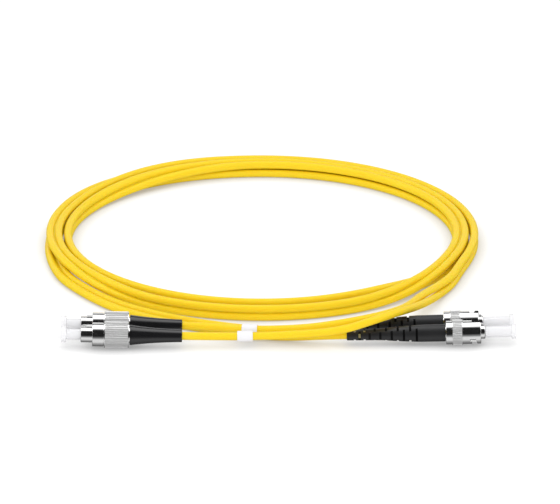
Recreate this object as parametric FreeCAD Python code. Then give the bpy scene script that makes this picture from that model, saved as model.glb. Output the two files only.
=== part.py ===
import FreeCAD, Part

import math
import os

# Duplex fibre optic patch cord, in millimetres, +Z up, lying on the floor at z = 0.
# Two FC plugs point along -X and two ST plugs along +X. A figure-eight cord of two
# jacketed strands joins them and lies behind them in a loose coil of three turns.
# The origin is on the floor, under the centre of the box round the four plugs.
# Strand A runs from the rear FC plug to the front ST plug, on the -Y side, and strand B
# from the front FC plug to the rear ST plug, because the pair rolls over on its way.

V = FreeCAD.Vector

# Whole layout
length_over_caps = 170.4
fc_pair_y = -1.1
fc_spacing = 10.6
st_spacing = 9.9
st_rear_lag = 0.75
fc_tilt = 1.0
st_tilt = 1.5

# Cord: two strands side by side
cord_d = 3.0
zip_gap = 0.15
cord_floor_gap = 0.02
buffer_d = 0.9

# Coil: angles are in degrees round its centre, from the front, anticlockwise from above.
# The strands wind as a pair, two layers high, in three columns beside each other.
coil_outer_d = 164.0
coil_centre_x = -10.0
coil_centre_y = 102.3
turn_gap = 0.45
coil_start = 76.0
coil_end = 1010.0
swap_start = 180.0
swap_end = 250.0
swap_bulge = 0.8
settle_start = 290.0
settle_end = 330.0
climb_start = 385.0
climb_end = 425.0
shift_start = 395.0
shift_end = 434.0
tail_start = 985.0
tail_soft = 15.0
tail_spread_per_degree = 0.17

# Fits and clearances
running_fit = 0.08
bore_clearance = 0.05
sliding_gap = 0.1
end_gap = 0.1

# Ferrule, the same in every plug
ferrule_d = 2.5
ferrule_chamfer = 0.35

# Crimped stem behind each plug, and the sleeve over it
stem_wall = 0.4
crimp_wall = 0.45
crimp_grip_len = 4.0
boot_seat_depth = 0.8
boot_seat_wall = 0.7
cord_in_boot = 3.0
cord_out_of_boot = 7.0

# FC plug, along its own axis from the boot's front face
fc_boot_len = 19.6
fc_boot_front_d = 7.7
fc_boot_rear_d = 4.75
fc_boot_shoulder = 4.5
fc_stem_len = 7.0
fc_nut_gap = 0.36
fc_knurl_d = 10.0
fc_knurl_len = 9.2
fc_knurl_teeth = 38
fc_knurl_depth = 0.2
fc_neck_len = 0.3
fc_nose_d = 8.9
fc_nose_len = 4.15
fc_thread_major_d = 8.0
fc_thread_minor_d = 7.2
fc_thread_pitch = 0.75
fc_thread_turns = 6
fc_nut_travel = 1.6
fc_nut_web_back = 1.65
fc_nut_web_len = 1.4
fc_ring_len = 0.6
fc_ring_wall = 0.95
fc_frame_d = 6.0
fc_frame_rear_extra = 0.2
fc_frame_reach = 4.35
fc_frame_cup_d = 4.8
fc_frame_cup_depth = 5.8
fc_frame_web_len = 1.2
fc_frame_wall = 0.45
fc_collar_len = 1.2
fc_collar_d = 7.2
fc_key_len = 3.7
fc_key_from_front = 2.25
fc_key_width = 1.8
fc_key_height = 0.35
fc_ferrule_reach = 4.45
fc_ferrule_len = 13.2
fc_ferrule_travel = 1.5
fc_holder_flange_len = 1.3
fc_holder_wall = 0.45
fc_holder_tail_d = 2.9
fc_stop_len = 3.4
fc_spring_wire = 0.5
fc_spring_turns = 6
fc_cap_d = 3.9
fc_cap_flange_d = 6.2
fc_cap_flange_len = 1.9
fc_cap_reach = 7.35

# ST plug, along its own axis from the boot's front face
st_boot_len = 37.0
st_boot_front_d = 6.55
st_boot_rear_d = 4.0
st_boot_plain_len = 10.0
st_boot_step_len = 7.0
st_slot_count = 12
st_slot_first = 3.0
st_slot_pitch = 1.78
st_slot_growth = 0.066
st_slot_width = 0.8
st_open_slots = 3
st_open_slot_floor_r = 1.3
st_slot_skin = 0.2
st_stem_len = 6.0
st_nut_gap = 0.15
st_collar_d = 8.8
st_collar_len = 2.3
st_knurl_d = 9.6
st_knurl_len = 4.0
st_knurl_teeth = 40
st_knurl_depth = 0.18
st_barrel_len = 6.8
st_nut_bore_d = 7.2
st_nut_travel = 1.5
st_web_back = 2.5
st_web_len = 1.0
st_clip_len = 0.7
st_clip_depth = 0.25
st_washer_len = 0.5
st_body_d = 5.2
st_body_reach = 1.6
st_body_chamfer = 0.4
st_spring_room = 4.0
st_spring_wire = 0.5
st_spring_turns = 3
st_body_collar_len = 1.0
st_key_len = 2.0
st_key_width = 1.0
st_key_height = 0.6
st_key_from_front = 0.6
st_slot_entry_angle = 93.0
st_slot_sweep = 55.0
st_bayonet_width = 2.2
st_bayonet_depth = 3.4
st_bayonet_ramp = 0.8
st_ferrule_len = 16.6
st_ferrule_reach = 8.75
st_cap_d = 4.15
st_cap_flange_d = 5.6
st_cap_flange_len = 1.6
st_cap_len = 11.4

# Marker sleeves on the strands near the FC plugs
label_len = 5.8
label_wall = 0.5
label_a_x = -14.4
label_b_x = -16.2

# What follows from the values above
cord_r = cord_d / 2
lay = cord_r + cord_floor_gap
stack = cord_d + zip_gap
ring_pitch = cord_d + turn_gap
outer_ring_r = coil_outer_d / 2 - cord_r
cord_bore_r = cord_r + bore_clearance
stem_bore_r = cord_r + 0.1
stem_r = stem_bore_r + stem_wall
crimp_r = stem_r + crimp_wall
boot_cavity_r = crimp_r + bore_clearance
boot_seat_r = boot_cavity_r + boot_seat_wall
ferrule_r = ferrule_d / 2
buffer_r = buffer_d / 2
buffer_bore_r = buffer_r + sliding_gap


# Shapes

def turned(outline):
    """Solid of revolution about the plug's axis from a closed outline of (along, radius)."""
    corners = [V(along, 0, radius) for along, radius in outline]
    face = Part.Face(Part.makePolygon(corners + corners[:1]))
    return face.revolve(V(0, 0, 0), V(1, 0, 0), 360)


def rod(start, end, radius):
    return Part.makeCylinder(radius, end - start, V(start, 0, 0), V(1, 0, 0))


def pipe(start, end, outer, inner):
    return turned([(start, inner), (end, inner), (end, outer), (start, outer)])


def bar(start, end, width, low, high):
    return Part.makeBox(end - start, width, high - low, V(start, -width / 2, low))


def knurled_band(start, end, diameter, teeth, depth):
    """Straight knurl: a band whose rim is a row of equal ridges along the axis."""
    rim = []
    for i in range(2 * teeth):
        radius = diameter / 2 - (depth if i % 2 else 0)
        angle = math.pi * i / teeth
        rim.append(V(start, radius * math.cos(angle), radius * math.sin(angle)))
    return Part.Face(Part.makePolygon(rim + rim[:1])).extrude(V(end - start, 0, 0))


def arc_edge(start, middle, end):
    return Part.Arc(start, middle, end).toShape()


def swept(wire, radius):
    """Round tube of the given radius along a smooth wire, square at both ends."""
    edge = wire.OrderedEdges[0]
    tangent = edge.tangentAt(edge.FirstParameter)
    circle = Part.Wire(Part.Circle(edge.valueAt(edge.FirstParameter), tangent, radius).toShape())
    solid = wire.makePipeShell([circle], True, False)
    return solid


def route(points, name):
    """Straight runs joined by tangent arcs as large as each pair of runs allows."""
    edges = []
    radii = []
    at = points[0]
    for before, corner, after in zip(points, points[1:], points[2:]):
        into = (corner - before).normalize()
        out = (after - corner).normalize()
        turn = into.getAngle(out)
        cut = 0.45 * min((corner - before).Length, (after - corner).Length)
        radius = cut / math.tan(turn / 2)
        start = corner - into * cut
        end = corner + out * cut
        inward = (out - into).normalize()
        middle = corner + inward * (radius / math.cos(turn / 2) - radius)
        edges.append(Part.LineSegment(at, start).toShape())
        edges.append(arc_edge(start, middle, end))
        radii.append(radius)
        at = end
    edges.append(Part.LineSegment(at, points[-1]).toShape())
    wire = Part.Wire(edges)
    print(name, "runs", [round((b - a).Length, 1) for a, b in zip(points, points[1:])],
          "radii", [round(radius, 1) for radius in radii], "length", round(wire.Length, 1))
    return wire


def corner_arc(start, corner, end):
    """Arc from start to end that is tangent to both legs of the corner, or a line."""
    chord_middle = (start + end) * 0.5
    half = (end - start).Length / 2
    rise = (corner - chord_middle).Length
    if rise < 1e-6 * half:
        return Part.LineSegment(start, end).toShape()
    sagitta = half * math.tan(math.atan2(rise, half) / 2)
    return arc_edge(start, chord_middle + (corner - chord_middle) * (sagitta / rise), end)


def biarc(start, start_tangent, end, end_tangent):
    """Two arcs that leave one point and reach the next along the given directions."""
    chord = end - start
    together = start_tangent + end_tangent
    spread = 2 * (1 - start_tangent.dot(end_tangent))
    along = chord.dot(together)
    if spread < 1e-9:
        reach = chord.dot(chord) / (4 * chord.dot(end_tangent))
    else:
        reach = (math.sqrt(along * along + spread * chord.dot(chord)) - along) / spread
    first = start + start_tangent * reach
    last = end - end_tangent * reach
    joint = (first + last) * 0.5
    return [corner_arc(start, first, joint), corner_arc(joint, last, end)]


def winding(point_at, marks, step):
    """Smooth wire through a formula's points at the marks, following its direction."""
    def heading(mark):
        return (point_at(mark + step) - point_at(mark - step)).normalize()

    edges = []
    for mark, following in zip(marks, marks[1:]):
        edges += biarc(point_at(mark), heading(mark), point_at(following), heading(following))
    return edges


def spaced(marks, most):
    """The marks with others put between them, so that none are further apart than most."""
    filled = [marks[0]]
    for mark in marks[1:]:
        steps = math.ceil((mark - filled[-1]) / most - 1e-9)
        start = filled[-1]
        filled += [start + (mark - start) * i / steps for i in range(1, steps + 1)]
    return filled


def ease(value, start, end):
    """Goes smoothly from 0 at start to 1 at end."""
    share = min(1, max(0, (value - start) / (end - start)))
    return share * share * (3 - 2 * share)


# Where each plug lies

def plug_place(kind, side):
    """Placement of a plug's own axis: its knurl's rear rim rests on the floor, nose up."""
    if kind == "fc":
        tilt = math.radians(fc_tilt)
        rim_d, rim_at = fc_knurl_d, fc_nut_gap
        tip, tip_r = fc_cap_end, fc_cap_flange_d / 2
        y = fc_pair_y + (fc_spacing / 2 if side == "a" else -fc_spacing / 2)
    else:
        tilt = math.radians(st_tilt)
        rim_d, rim_at = st_knurl_d, st_nut_gap + st_collar_len
        tip, tip_r = st_cap_end, st_cap_flange_d / 2
        y = st_pair_y + (st_spacing / 2 if side == "b" else -st_spacing / 2)
    height = rim_d / 2 * math.cos(tilt) - rim_at * math.sin(tilt)
    reach = length_over_caps / 2 - tip * math.cos(tilt) - tip_r * math.sin(tilt)
    lean = FreeCAD.Rotation(V(0, 1, 0), -math.degrees(tilt))
    if kind == "fc":
        about = FreeCAD.Rotation(V(0, 0, 1), 180).multiply(lean)
        return FreeCAD.Placement(V(-reach, y, height), about)
    if side == "b":
        reach -= st_rear_lag
    return FreeCAD.Placement(V(reach, y, height), lean)


# FC plug stations along its axis
fc_nut_back = fc_nut_gap
fc_knurl_front = fc_nut_back + fc_knurl_len
fc_nose_back = fc_knurl_front + fc_neck_len
fc_nut_front = fc_nose_back + fc_nose_len
fc_frame_front = fc_nut_front + fc_frame_reach
fc_cup_floor = fc_frame_front - fc_frame_cup_depth
fc_holder_seat = fc_cup_floor - fc_frame_web_len
fc_ferrule_tip = fc_frame_front + fc_ferrule_reach
fc_web_back = fc_nut_back + fc_nut_web_back
fc_web_front = fc_web_back + fc_nut_web_len
fc_collar_back = fc_web_front + fc_nut_travel + end_gap
fc_collar_front = fc_collar_back + fc_collar_len
fc_thread_back = fc_nut_front - fc_thread_turns * fc_thread_pitch - 0.3
fc_cap_end = fc_frame_front + fc_cap_reach
fc_frame_rear_r = fc_frame_d / 2 + fc_frame_rear_extra / 2
fc_chamber_r = fc_frame_d / 2 - fc_frame_wall
fc_holder_nose_r = ferrule_r + fc_holder_wall
fc_tail_r = fc_holder_tail_d / 2

# ST plug stations along its axis
st_knurl_back = st_nut_gap + st_collar_len
st_knurl_front = st_knurl_back + st_knurl_len
st_nut_front = st_knurl_front + st_barrel_len
st_body_front = st_nut_front + st_body_reach
st_web_start = st_nut_gap + st_web_back
st_web_end = st_web_start + st_web_len
st_washer_front = st_web_end + end_gap / 2 + st_washer_len
st_body_collar_back = st_washer_front + st_spring_room
st_body_collar_front = st_body_collar_back + st_body_collar_len
st_ferrule_tip = st_body_front + st_ferrule_reach
st_cap_start = st_body_front + end_gap
st_cap_end = st_cap_start + st_cap_len
st_body_r = st_body_d / 2
st_nut_bore_r = st_nut_bore_d / 2
st_pair_y = (fc_spacing + fc_knurl_d - st_spacing - st_knurl_d) / 2 - fc_pair_y


# Pieces that both kinds of plug have

def ferrule(back, tip):
    return turned([(back, 0), (tip, 0), (tip, ferrule_r - ferrule_chamfer),
                   (tip - ferrule_chamfer, ferrule_r), (back, ferrule_r)])


def crimp_sleeve(stem_len):
    """Stepped metal sleeve: wide over the stem, narrow where it grips the jacket."""
    back = -stem_len - crimp_grip_len
    return turned([(back, cord_r), (-stem_len, cord_r), (-stem_len, stem_r),
                   (-boot_seat_depth - end_gap, stem_r), (-boot_seat_depth - end_gap, crimp_r),
                   (-stem_len, crimp_r), (-stem_len - 0.6, crimp_r - 0.3),
                   (back, crimp_r - 0.3)])


def jacket_end(stem_len, boot_len):
    """The strand's last stretch, held inside the boot."""
    return rod(cord_in_boot - boot_len, -stem_len, cord_r)


def boot_hollow(stem_len, boot_len):
    """Space inside a boot: the cord's bore, the crimp's cavity and the plug's seat."""
    cavity_back = -stem_len - crimp_grip_len - end_gap
    return turned([(-boot_len, 0), (end_gap, 0), (end_gap, boot_seat_r),
                   (-boot_seat_depth, boot_seat_r), (-boot_seat_depth, boot_cavity_r),
                   (cavity_back, boot_cavity_r), (cavity_back, cord_bore_r),
                   (-boot_len, cord_bore_r)])


def spring(start, end, mean_r, wire_d, turns):
    """Compression spring: one helix on quarter-turn biarcs, with straight ends."""
    low = start + wire_d / 2
    rise = (end - start - wire_d) / turns

    def point_at(turn):
        angle = 2 * math.pi * turn
        return V(low + rise * turn, mean_r * math.cos(angle), mean_r * math.sin(angle))

    marks = [i / 4 for i in range(4 * turns + 1)]
    return swept(Part.Wire(winding(point_at, marks, 0.002)), wire_d / 2)


# FC plug

def fc_boot():
    """Smooth moulded boot: full at the front, then drawn in along a hollow curve."""
    front, rear = fc_boot_front_d / 2, fc_boot_rear_d / 2
    shoulder = -fc_boot_shoulder
    middle = (shoulder - fc_boot_len) / 2
    waist = rear + (front - rear) * 0.36
    outline = Part.Wire([
        Part.LineSegment(V(0, 0, 0), V(0, 0, front - 0.25)).toShape(),
        Part.LineSegment(V(0, 0, front - 0.25), V(-0.25, 0, front)).toShape(),
        arc_edge(V(-0.25, 0, front), V(shoulder / 2, 0, front - 0.07), V(shoulder, 0, front - 0.4)),
        arc_edge(V(shoulder, 0, front - 0.4), V(middle, 0, waist), V(-fc_boot_len, 0, rear)),
        Part.LineSegment(V(-fc_boot_len, 0, rear), V(-fc_boot_len, 0, 0)).toShape(),
        Part.LineSegment(V(-fc_boot_len, 0, 0), V(0, 0, 0)).toShape()])
    body = Part.Face(outline).revolve(V(0, 0, 0), V(1, 0, 0), 360)
    return body.cut(boot_hollow(fc_stem_len, fc_boot_len))


def fc_stop_ring():
    """Rear body: screwed into the frame, it backs the spring and carries the crimp stem."""
    inner = fc_tail_r + sliding_gap
    return turned([(-fc_stem_len, stem_bore_r), (-boot_seat_depth, stem_bore_r),
                   (0, max(inner, stem_bore_r)), (0, inner), (fc_stop_len, inner),
                   (fc_stop_len, fc_chamber_r), (0, fc_chamber_r), (0, boot_seat_r - bore_clearance),
                   (-boot_seat_depth, boot_seat_r - bore_clearance), (-boot_seat_depth, stem_r),
                   (-fc_stem_len, stem_r)])


def fc_plug_frame():
    """Keyed barrel that holds the ferrule: cup in front, spring chamber behind."""
    front_r, cup_r = fc_frame_d / 2, fc_frame_cup_d / 2
    web_r = fc_holder_nose_r + sliding_gap
    body = turned([(0, fc_chamber_r), (fc_holder_seat, fc_chamber_r), (fc_holder_seat, web_r),
                   (fc_cup_floor, web_r), (fc_cup_floor, cup_r), (fc_frame_front, cup_r),
                   (fc_frame_front, front_r - 0.2), (fc_frame_front - 0.2, front_r),
                   (fc_collar_front, front_r), (fc_collar_front, fc_collar_d / 2),
                   (fc_collar_back, fc_collar_d / 2), (fc_collar_back, fc_frame_rear_r),
                   (0, fc_frame_rear_r)])
    key_front = fc_frame_front - fc_key_from_front
    key = bar(key_front - fc_key_len, key_front, fc_key_width, cup_r + 0.2, front_r + fc_key_height)
    return body.fuse(key).removeSplitter()


def fc_holder():
    """Metal holder pressed on the ferrule: nose, spring flange and tail tube."""
    back = fc_stop_len - 2.0
    flange_back = fc_holder_seat - fc_holder_flange_len
    ferrule_back = fc_ferrule_tip - fc_ferrule_len
    flange_r = fc_chamber_r - sliding_gap
    return turned([(back, buffer_bore_r), (ferrule_back, buffer_bore_r), (ferrule_back, ferrule_r),
                   (fc_cup_floor, ferrule_r), (fc_cup_floor, fc_holder_nose_r),
                   (fc_holder_seat, fc_holder_nose_r), (fc_holder_seat, flange_r),
                   (flange_back, flange_r), (flange_back, fc_tail_r), (back, fc_tail_r)])


def fc_spring():
    wire = fc_spring_wire
    mean_r = (fc_tail_r + fc_chamber_r) / 2
    return spring(fc_stop_len, fc_holder_seat - fc_holder_flange_len, mean_r, wire, fc_spring_turns)


def fc_ring_back():
    return fc_nut_back + 0.5


def fc_snap_ring():
    """Open ring in the nut's rear groove: it slides on the frame with the nut."""
    inner = fc_frame_rear_r + running_fit
    back = fc_ring_back()
    ring = pipe(back, back + fc_ring_len, inner + fc_ring_wall, inner)
    opening = Part.makeBox(fc_ring_len * 3, 1.0, fc_knurl_d, V(back - fc_ring_len, -0.5, 0))
    return ring.cut(opening)


def fc_coupling_nut():
    """Knurled nut with a plain nose, an inner web behind the frame's collar and a thread."""
    back, front = fc_nut_back, fc_nut_front
    knurl_r, nose_r = fc_knurl_d / 2, fc_nose_d / 2
    rim_r = knurl_r - fc_knurl_depth / 2
    rim = 0.3
    core = turned([(back, 0), (back, rim_r - 0.15), (back + 0.15, rim_r), (back + rim, rim_r),
                   (back + rim, knurl_r - fc_knurl_depth), (fc_knurl_front - rim, knurl_r - fc_knurl_depth),
                   (fc_knurl_front - rim, rim_r), (fc_knurl_front - 0.15, rim_r),
                   (fc_knurl_front, rim_r - 0.15), (fc_knurl_front, nose_r - 0.15),
                   (fc_nose_back, nose_r - 0.15), (fc_nose_back, nose_r), (front - 0.3, nose_r),
                   (front, nose_r - 0.3), (front, 0)])
    knurl = knurled_band(back + rim, fc_knurl_front - rim, fc_knurl_d, fc_knurl_teeth, fc_knurl_depth)
    ring_r = fc_frame_rear_r + running_fit + fc_ring_wall
    major, minor = fc_thread_major_d / 2, fc_thread_minor_d / 2
    ring_back = fc_ring_back() - bore_clearance
    ring_front = fc_ring_back() + fc_ring_len + bore_clearance
    groove_r = ring_r + bore_clearance
    hollow = [(back - 1, 0), (back - 1, ring_r - 0.3), (ring_back, ring_r - 0.3),
              (ring_back, groove_r), (ring_front, groove_r), (ring_front, ring_r - 0.3),
              (fc_web_back, ring_r - 0.3), (fc_web_back, fc_frame_rear_r + running_fit),
              (fc_web_front, fc_frame_rear_r + running_fit), (fc_web_front, major - 0.1),
              (fc_thread_back, major - 0.1), (fc_thread_back, minor)]
    for i in range(fc_thread_turns):
        groove = fc_thread_back + i * fc_thread_pitch
        hollow.append((groove + fc_thread_pitch / 2, major))
        hollow.append((groove + fc_thread_pitch, minor))
    hollow += [(front - 0.3, minor), (front, major), (front + 1, major), (front + 1, 0)]
    return core.fuse(knurl).cut(turned(hollow))


def fc_dust_cap():
    """Clear push-on cap: a closed tube over the ferrule with a gripping flange at its end."""
    back = fc_cup_floor + fc_ferrule_travel + end_gap
    flange_back = fc_cap_end - fc_cap_flange_len
    bore_r = ferrule_r + 0.03
    outer, flange = fc_cap_d / 2, fc_cap_flange_d / 2
    return turned([(back, bore_r), (fc_ferrule_tip + 0.5, bore_r), (fc_ferrule_tip + 0.5, 0),
                   (fc_cap_end, 0), (fc_cap_end, flange - 0.2), (fc_cap_end - 0.2, flange),
                   (flange_back, flange), (flange_back, outer), (back, outer)])


def fc_buffer():
    """Buffered fibre from the end of the jacket to the back of the ferrule."""
    return rod(-fc_stem_len + fc_ferrule_travel + 1, fc_ferrule_tip - fc_ferrule_len, buffer_r)


# ST plug

def st_slots():
    """Where the boot's flex slots stand, counted from the boot's cable end."""
    at = st_slot_first
    places = []
    for i in range(st_slot_count):
        places.append(at - st_boot_len)
        at += st_slot_pitch + i * st_slot_growth
    return places


def st_boot():
    """Long strain relief: a plain front, then a thin stem cut by slots in crossed pairs."""
    front, rear = st_boot_front_d / 2, st_boot_rear_d / 2
    plain = -st_boot_plain_len
    step = plain - st_boot_step_len
    swell = front - rear
    body = turned([(0, 0), (0, front - 0.15), (-0.15, front), (plain, front - 0.05),
                   (step, rear + 0.63 * swell), (step - st_boot_step_len, rear + 0.17 * swell),
                   (-st_boot_len, rear), (-st_boot_len, 0)])
    body = body.cut(boot_hollow(st_stem_len, st_boot_len))
    cutters = []
    for number, at in enumerate(st_slots()):
        floor = st_open_slot_floor_r if number < st_open_slots else cord_bore_r + st_slot_skin
        for half_turn in (0, 180):
            slot = Part.makeBox(st_slot_width, 4 * front, front,
                                V(at - st_slot_width / 2, -2 * front, floor))
            slot.rotate(V(0, 0, 0), V(1, 0, 0), half_turn + (90 if number % 2 else 0))
            cutters.append(slot)
    return body.cut(Part.makeCompound(cutters))


def st_body():
    """Plug body: keyed front barrel, spring collar, clip groove and crimp stem in one."""
    front, collar_r = st_body_front, st_nut_bore_r - sliding_gap - 0.05
    groove_r = st_body_r - st_clip_depth
    clip_back = st_web_start - end_gap / 2 - st_clip_len
    seat_r = min(boot_seat_r, st_boot_front_d / 2 - 0.2) - bore_clearance
    ferrule_back = st_ferrule_tip - st_ferrule_len
    body = turned([(-st_stem_len, buffer_bore_r), (ferrule_back, buffer_bore_r),
                   (ferrule_back, ferrule_r), (front, ferrule_r), (front, st_body_r - st_body_chamfer),
                   (front - st_body_chamfer, st_body_r), (st_body_collar_front, st_body_r),
                   (st_body_collar_front, collar_r), (st_body_collar_back, collar_r),
                   (st_body_collar_back, st_body_r), (clip_back + st_clip_len, st_body_r),
                   (clip_back + st_clip_len, groove_r), (clip_back, groove_r), (clip_back, st_body_r),
                   (0, st_body_r), (0, seat_r), (-boot_seat_depth, seat_r), (-boot_seat_depth, stem_r),
                   (-st_stem_len, stem_r)])
    key_front = front - st_key_from_front
    key = bar(key_front - st_key_len, key_front, st_key_width, st_body_r - 0.5, st_body_r + st_key_height)
    return body.fuse(key).removeSplitter()


def st_clip_ring():
    """Open retaining ring in the body's groove, behind the nut's web."""
    front = st_web_start - end_gap / 2
    ring = pipe(front - st_clip_len, front, st_nut_bore_r - sliding_gap, st_body_r - st_clip_depth)
    opening = Part.makeBox(st_clip_len * 3, 1.2, st_knurl_d, V(front - 2 * st_clip_len, -0.6, 0))
    return ring.cut(opening)


def st_washer():
    """Flat washer between the nut's web and the spring: it moves forward with the nut."""
    back = st_web_end + end_gap / 2
    return pipe(back, back + st_washer_len, st_nut_bore_r - sliding_gap, st_body_r + running_fit)


def st_spring():
    mean_r = (st_body_r + st_nut_bore_r) / 2
    return spring(st_washer_front, st_body_collar_back, mean_r, st_spring_wire, st_spring_turns)


def ring_sector(back, front, inner, outer, start_angle, sweep):
    """Part of a ring: angles in degrees round the axis, from +Y towards +Z."""
    corners = [V(back, inner, 0), V(front, inner, 0), V(front, outer, 0), V(back, outer, 0)]
    face = Part.Face(Part.makePolygon(corners + corners[:1]))
    face.rotate(V(0, 0, 0), V(1, 0, 0), start_angle)
    return face.revolve(V(0, 0, 0), V(1, 0, 0), sweep)


def st_bayonet_slots():
    """Two slots half a turn apart: straight in from the front, then round to a pocket."""
    outer, inner = st_knurl_d / 2 + 1, st_body_r
    mean_r = (st_nut_bore_r + st_collar_d / 2) / 2
    half = math.degrees(st_bayonet_width / 2 / mean_r)
    floor = st_nut_front - st_bayonet_depth
    slots = []
    for turn in (0, 180):
        entry = 180 - st_slot_entry_angle + turn
        slots.append(ring_sector(floor, st_nut_front + 1, inner, outer, entry - half, 2 * half))
        for i in range(3):
            back = floor - st_bayonet_ramp * i / 2
            start = entry - half - st_slot_sweep * (i + 1) / 3
            slots.append(ring_sector(back, back + st_bayonet_width, inner, outer, start,
                                     st_slot_sweep / 3 + 2 * half))
        pocket = entry - half - st_slot_sweep
        slots.append(ring_sector(floor, floor + st_bayonet_width + 0.3, inner, outer, pocket, 2 * half))
    return slots


def st_bayonet_nut():
    """Bayonet nut: rear collar, knurled ring and slotted barrel in one."""
    back, front = st_nut_gap, st_nut_front
    collar_r, knurl_r = st_collar_d / 2, st_knurl_d / 2
    rim_r = knurl_r - st_knurl_depth / 2
    rim = 0.25
    core = turned([(back, 0), (back, collar_r - 0.2), (back + 0.2, collar_r), (st_knurl_back, collar_r),
                   (st_knurl_back, rim_r), (st_knurl_back + rim, rim_r),
                   (st_knurl_back + rim, knurl_r - st_knurl_depth),
                   (st_knurl_front - rim, knurl_r - st_knurl_depth), (st_knurl_front - rim, rim_r),
                   (st_knurl_front, rim_r), (st_knurl_front, collar_r), (front - 0.3, collar_r),
                   (front, collar_r - 0.3), (front, 0)])
    knurl = knurled_band(st_knurl_back + rim, st_knurl_front - rim, st_knurl_d, st_knurl_teeth,
                         st_knurl_depth)
    web_r = st_body_r + running_fit
    hollow = turned([(back - 1, 0), (back - 1, st_nut_bore_r), (st_web_start, st_nut_bore_r),
                     (st_web_start, web_r), (st_web_end, web_r), (st_web_end, st_nut_bore_r),
                     (front + 1, st_nut_bore_r), (front + 1, 0)])
    return core.fuse(knurl).cut(hollow).cut(Part.makeCompound(st_bayonet_slots()))


def st_dust_cap():
    """Clear push-on cap: a closed tube over the ferrule with a gripping flange at its end."""
    flange_back = st_cap_end - st_cap_flange_len
    bore_r = ferrule_r + 0.03
    outer, flange = st_cap_d / 2, st_cap_flange_d / 2
    return turned([(st_cap_start, bore_r), (st_ferrule_tip + 0.5, bore_r), (st_ferrule_tip + 0.5, 0),
                   (st_cap_end, 0), (st_cap_end, flange - 0.2), (st_cap_end - 0.2, flange),
                   (flange_back, flange), (flange_back, outer), (st_cap_start, outer)])


# Cord

def coil_pair(angle):
    """The pair's middle, as its place inward of the outermost ring and its height, and its roll.

    Rolled by 0 the strand A lies on the strand B; rolled by a quarter turn it lies inward of it.
    """
    first, second, third = (ease(angle - turn, swap_start, swap_end) for turn in (0, 360, 720))
    settle = ease(angle, settle_start, settle_end)
    climb = ease(angle, climb_start, climb_end)
    shift = ease(angle, shift_start, shift_end)
    duck = ease(angle - 360, climb_start, climb_end)
    roll = math.pi / 2 * (first - settle + climb + second + duck)
    column = ring_pitch * ((first - settle + climb + second - duck) / 2 + shift - third)
    column += 4 * swap_bulge * (second * (1 - second) - first * (1 - first))
    height = lay + stack / 2 * abs(math.cos(roll)) + ring_pitch * (first - settle + climb - second)
    past = max(0, angle - tail_start)
    spread = past * past / (2 * tail_soft) if past < tail_soft else past - tail_soft / 2
    return column - tail_spread_per_degree * spread, height, roll


def coil_point(strand, angle):
    """Centre of a strand at an angle."""
    column, height, roll = coil_pair(angle)
    half = stack / 2 if strand == "a" else -stack / 2
    radius = outer_ring_r - column - half * math.sin(roll)
    turn = math.radians(angle)
    return V(coil_centre_x + radius * math.sin(turn), coil_centre_y - radius * math.cos(turn),
             height + half * math.cos(roll))


def coil_marks():
    """Angles where the pair starts, stops or is halfway through a change, and others between."""
    marks = {coil_start, coil_end, tail_start, tail_start + tail_soft}
    changes = [(swap_start, swap_end), (swap_start + 360, swap_end + 360), (swap_start + 720, swap_end + 720),
               (settle_start, settle_end), (climb_start, climb_end), (climb_start + 360, climb_end + 360),
               (shift_start, shift_end)]
    for start, end in changes:
        marks |= {start + (end - start) * step / 4 for step in range(5)}
    inside = sorted(mark for mark in marks if coil_start <= mark <= coil_end)
    return spaced(inside, 45.0)


def print_least_gaps(wires):
    """Prints the least gap of a strand to its own turns and to the other strand."""
    points = {strand: wire.discretize(Distance=2.5) for strand, wire in wires.items()}
    for strand, row in points.items():
        least = min((row[i] - row[j]).Length
                    for i in range(len(row)) for j in range(i + 60, len(row)))
        print("strand", strand, "least gap between turns", round(least - cord_d, 3))
    fine = wires["b"].discretize(Distance=0.8)
    least = min((p - q).Length for p in points["a"] for q in fine)
    print("least gap between the strands", round(least - cord_d, 3))


def coil_wire(strand):
    def point_at(angle):
        return coil_point(strand, angle)

    wire = Part.Wire(winding(point_at, coil_marks(), 0.25))
    print("strand", strand, "coil length", round(wire.Length, 1))
    return wire


def coil_heading(strand, angle):
    return (coil_point(strand, angle + 0.25) - coil_point(strand, angle - 0.25)).normalize()


# Points of the free stretches between a plug's boot and the coil, chosen by eye
fc_leg_points = {
    "a": [V(-14.0, 0.1, 4.5), V(4.3, -2.2, 5.9), V(17.2, -5.3, 8.8), V(28.4, -4.4, 10.6),
          V(37.4, 3.0, 10.0), V(44.6, 15.8, 7.8), V(50.0, 30.3, 6.9), V(56.0, 44.0, 5.2),
          V(61.6, 55.9, lay + stack + 0.1)],
    "b": [V(-14.0, -5.8, 4.2), V(4.3, -7.4, 5.6), V(19.8, -10.8, 8.4), V(31.4, -6.6, 10.8),
          V(41.0, 2.2, 10.8), V(48.2, 15.3, 8.1), V(53.0, 30.9, 4.5), V(57.2, 45.4, 1.8),
          V(61.8, 55.9, lay + 0.1)],
}
st_leg_points = {
    "a": [V(-76.8, 45.9, lay), V(-66.6, 31.9, lay), V(-52.5, 20.3, lay), V(-36.2, 11.0, lay),
          V(-18.9, 4.4, lay), V(-2.5, 0.2, lay)],
    "b": [V(-74.2, 48.1, lay), V(-63.9, 34.9, lay), V(-50.2, 24.3, lay), V(-34.4, 15.8, lay),
          V(-17.5, 9.6, lay), V(-2.0, 6.1, lay)],
}
coil_run = 13.0


def boot_run(kind, strand):
    """The two points that lead a strand straight out of its boot."""
    place = plug_place(kind, strand)
    boot_len = fc_boot_len if kind == "fc" else st_boot_len
    return [place.multVec(V(cord_in_boot - boot_len, 0, 0)),
            place.multVec(V(-boot_len - cord_out_of_boot, 0, 0))]


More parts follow.
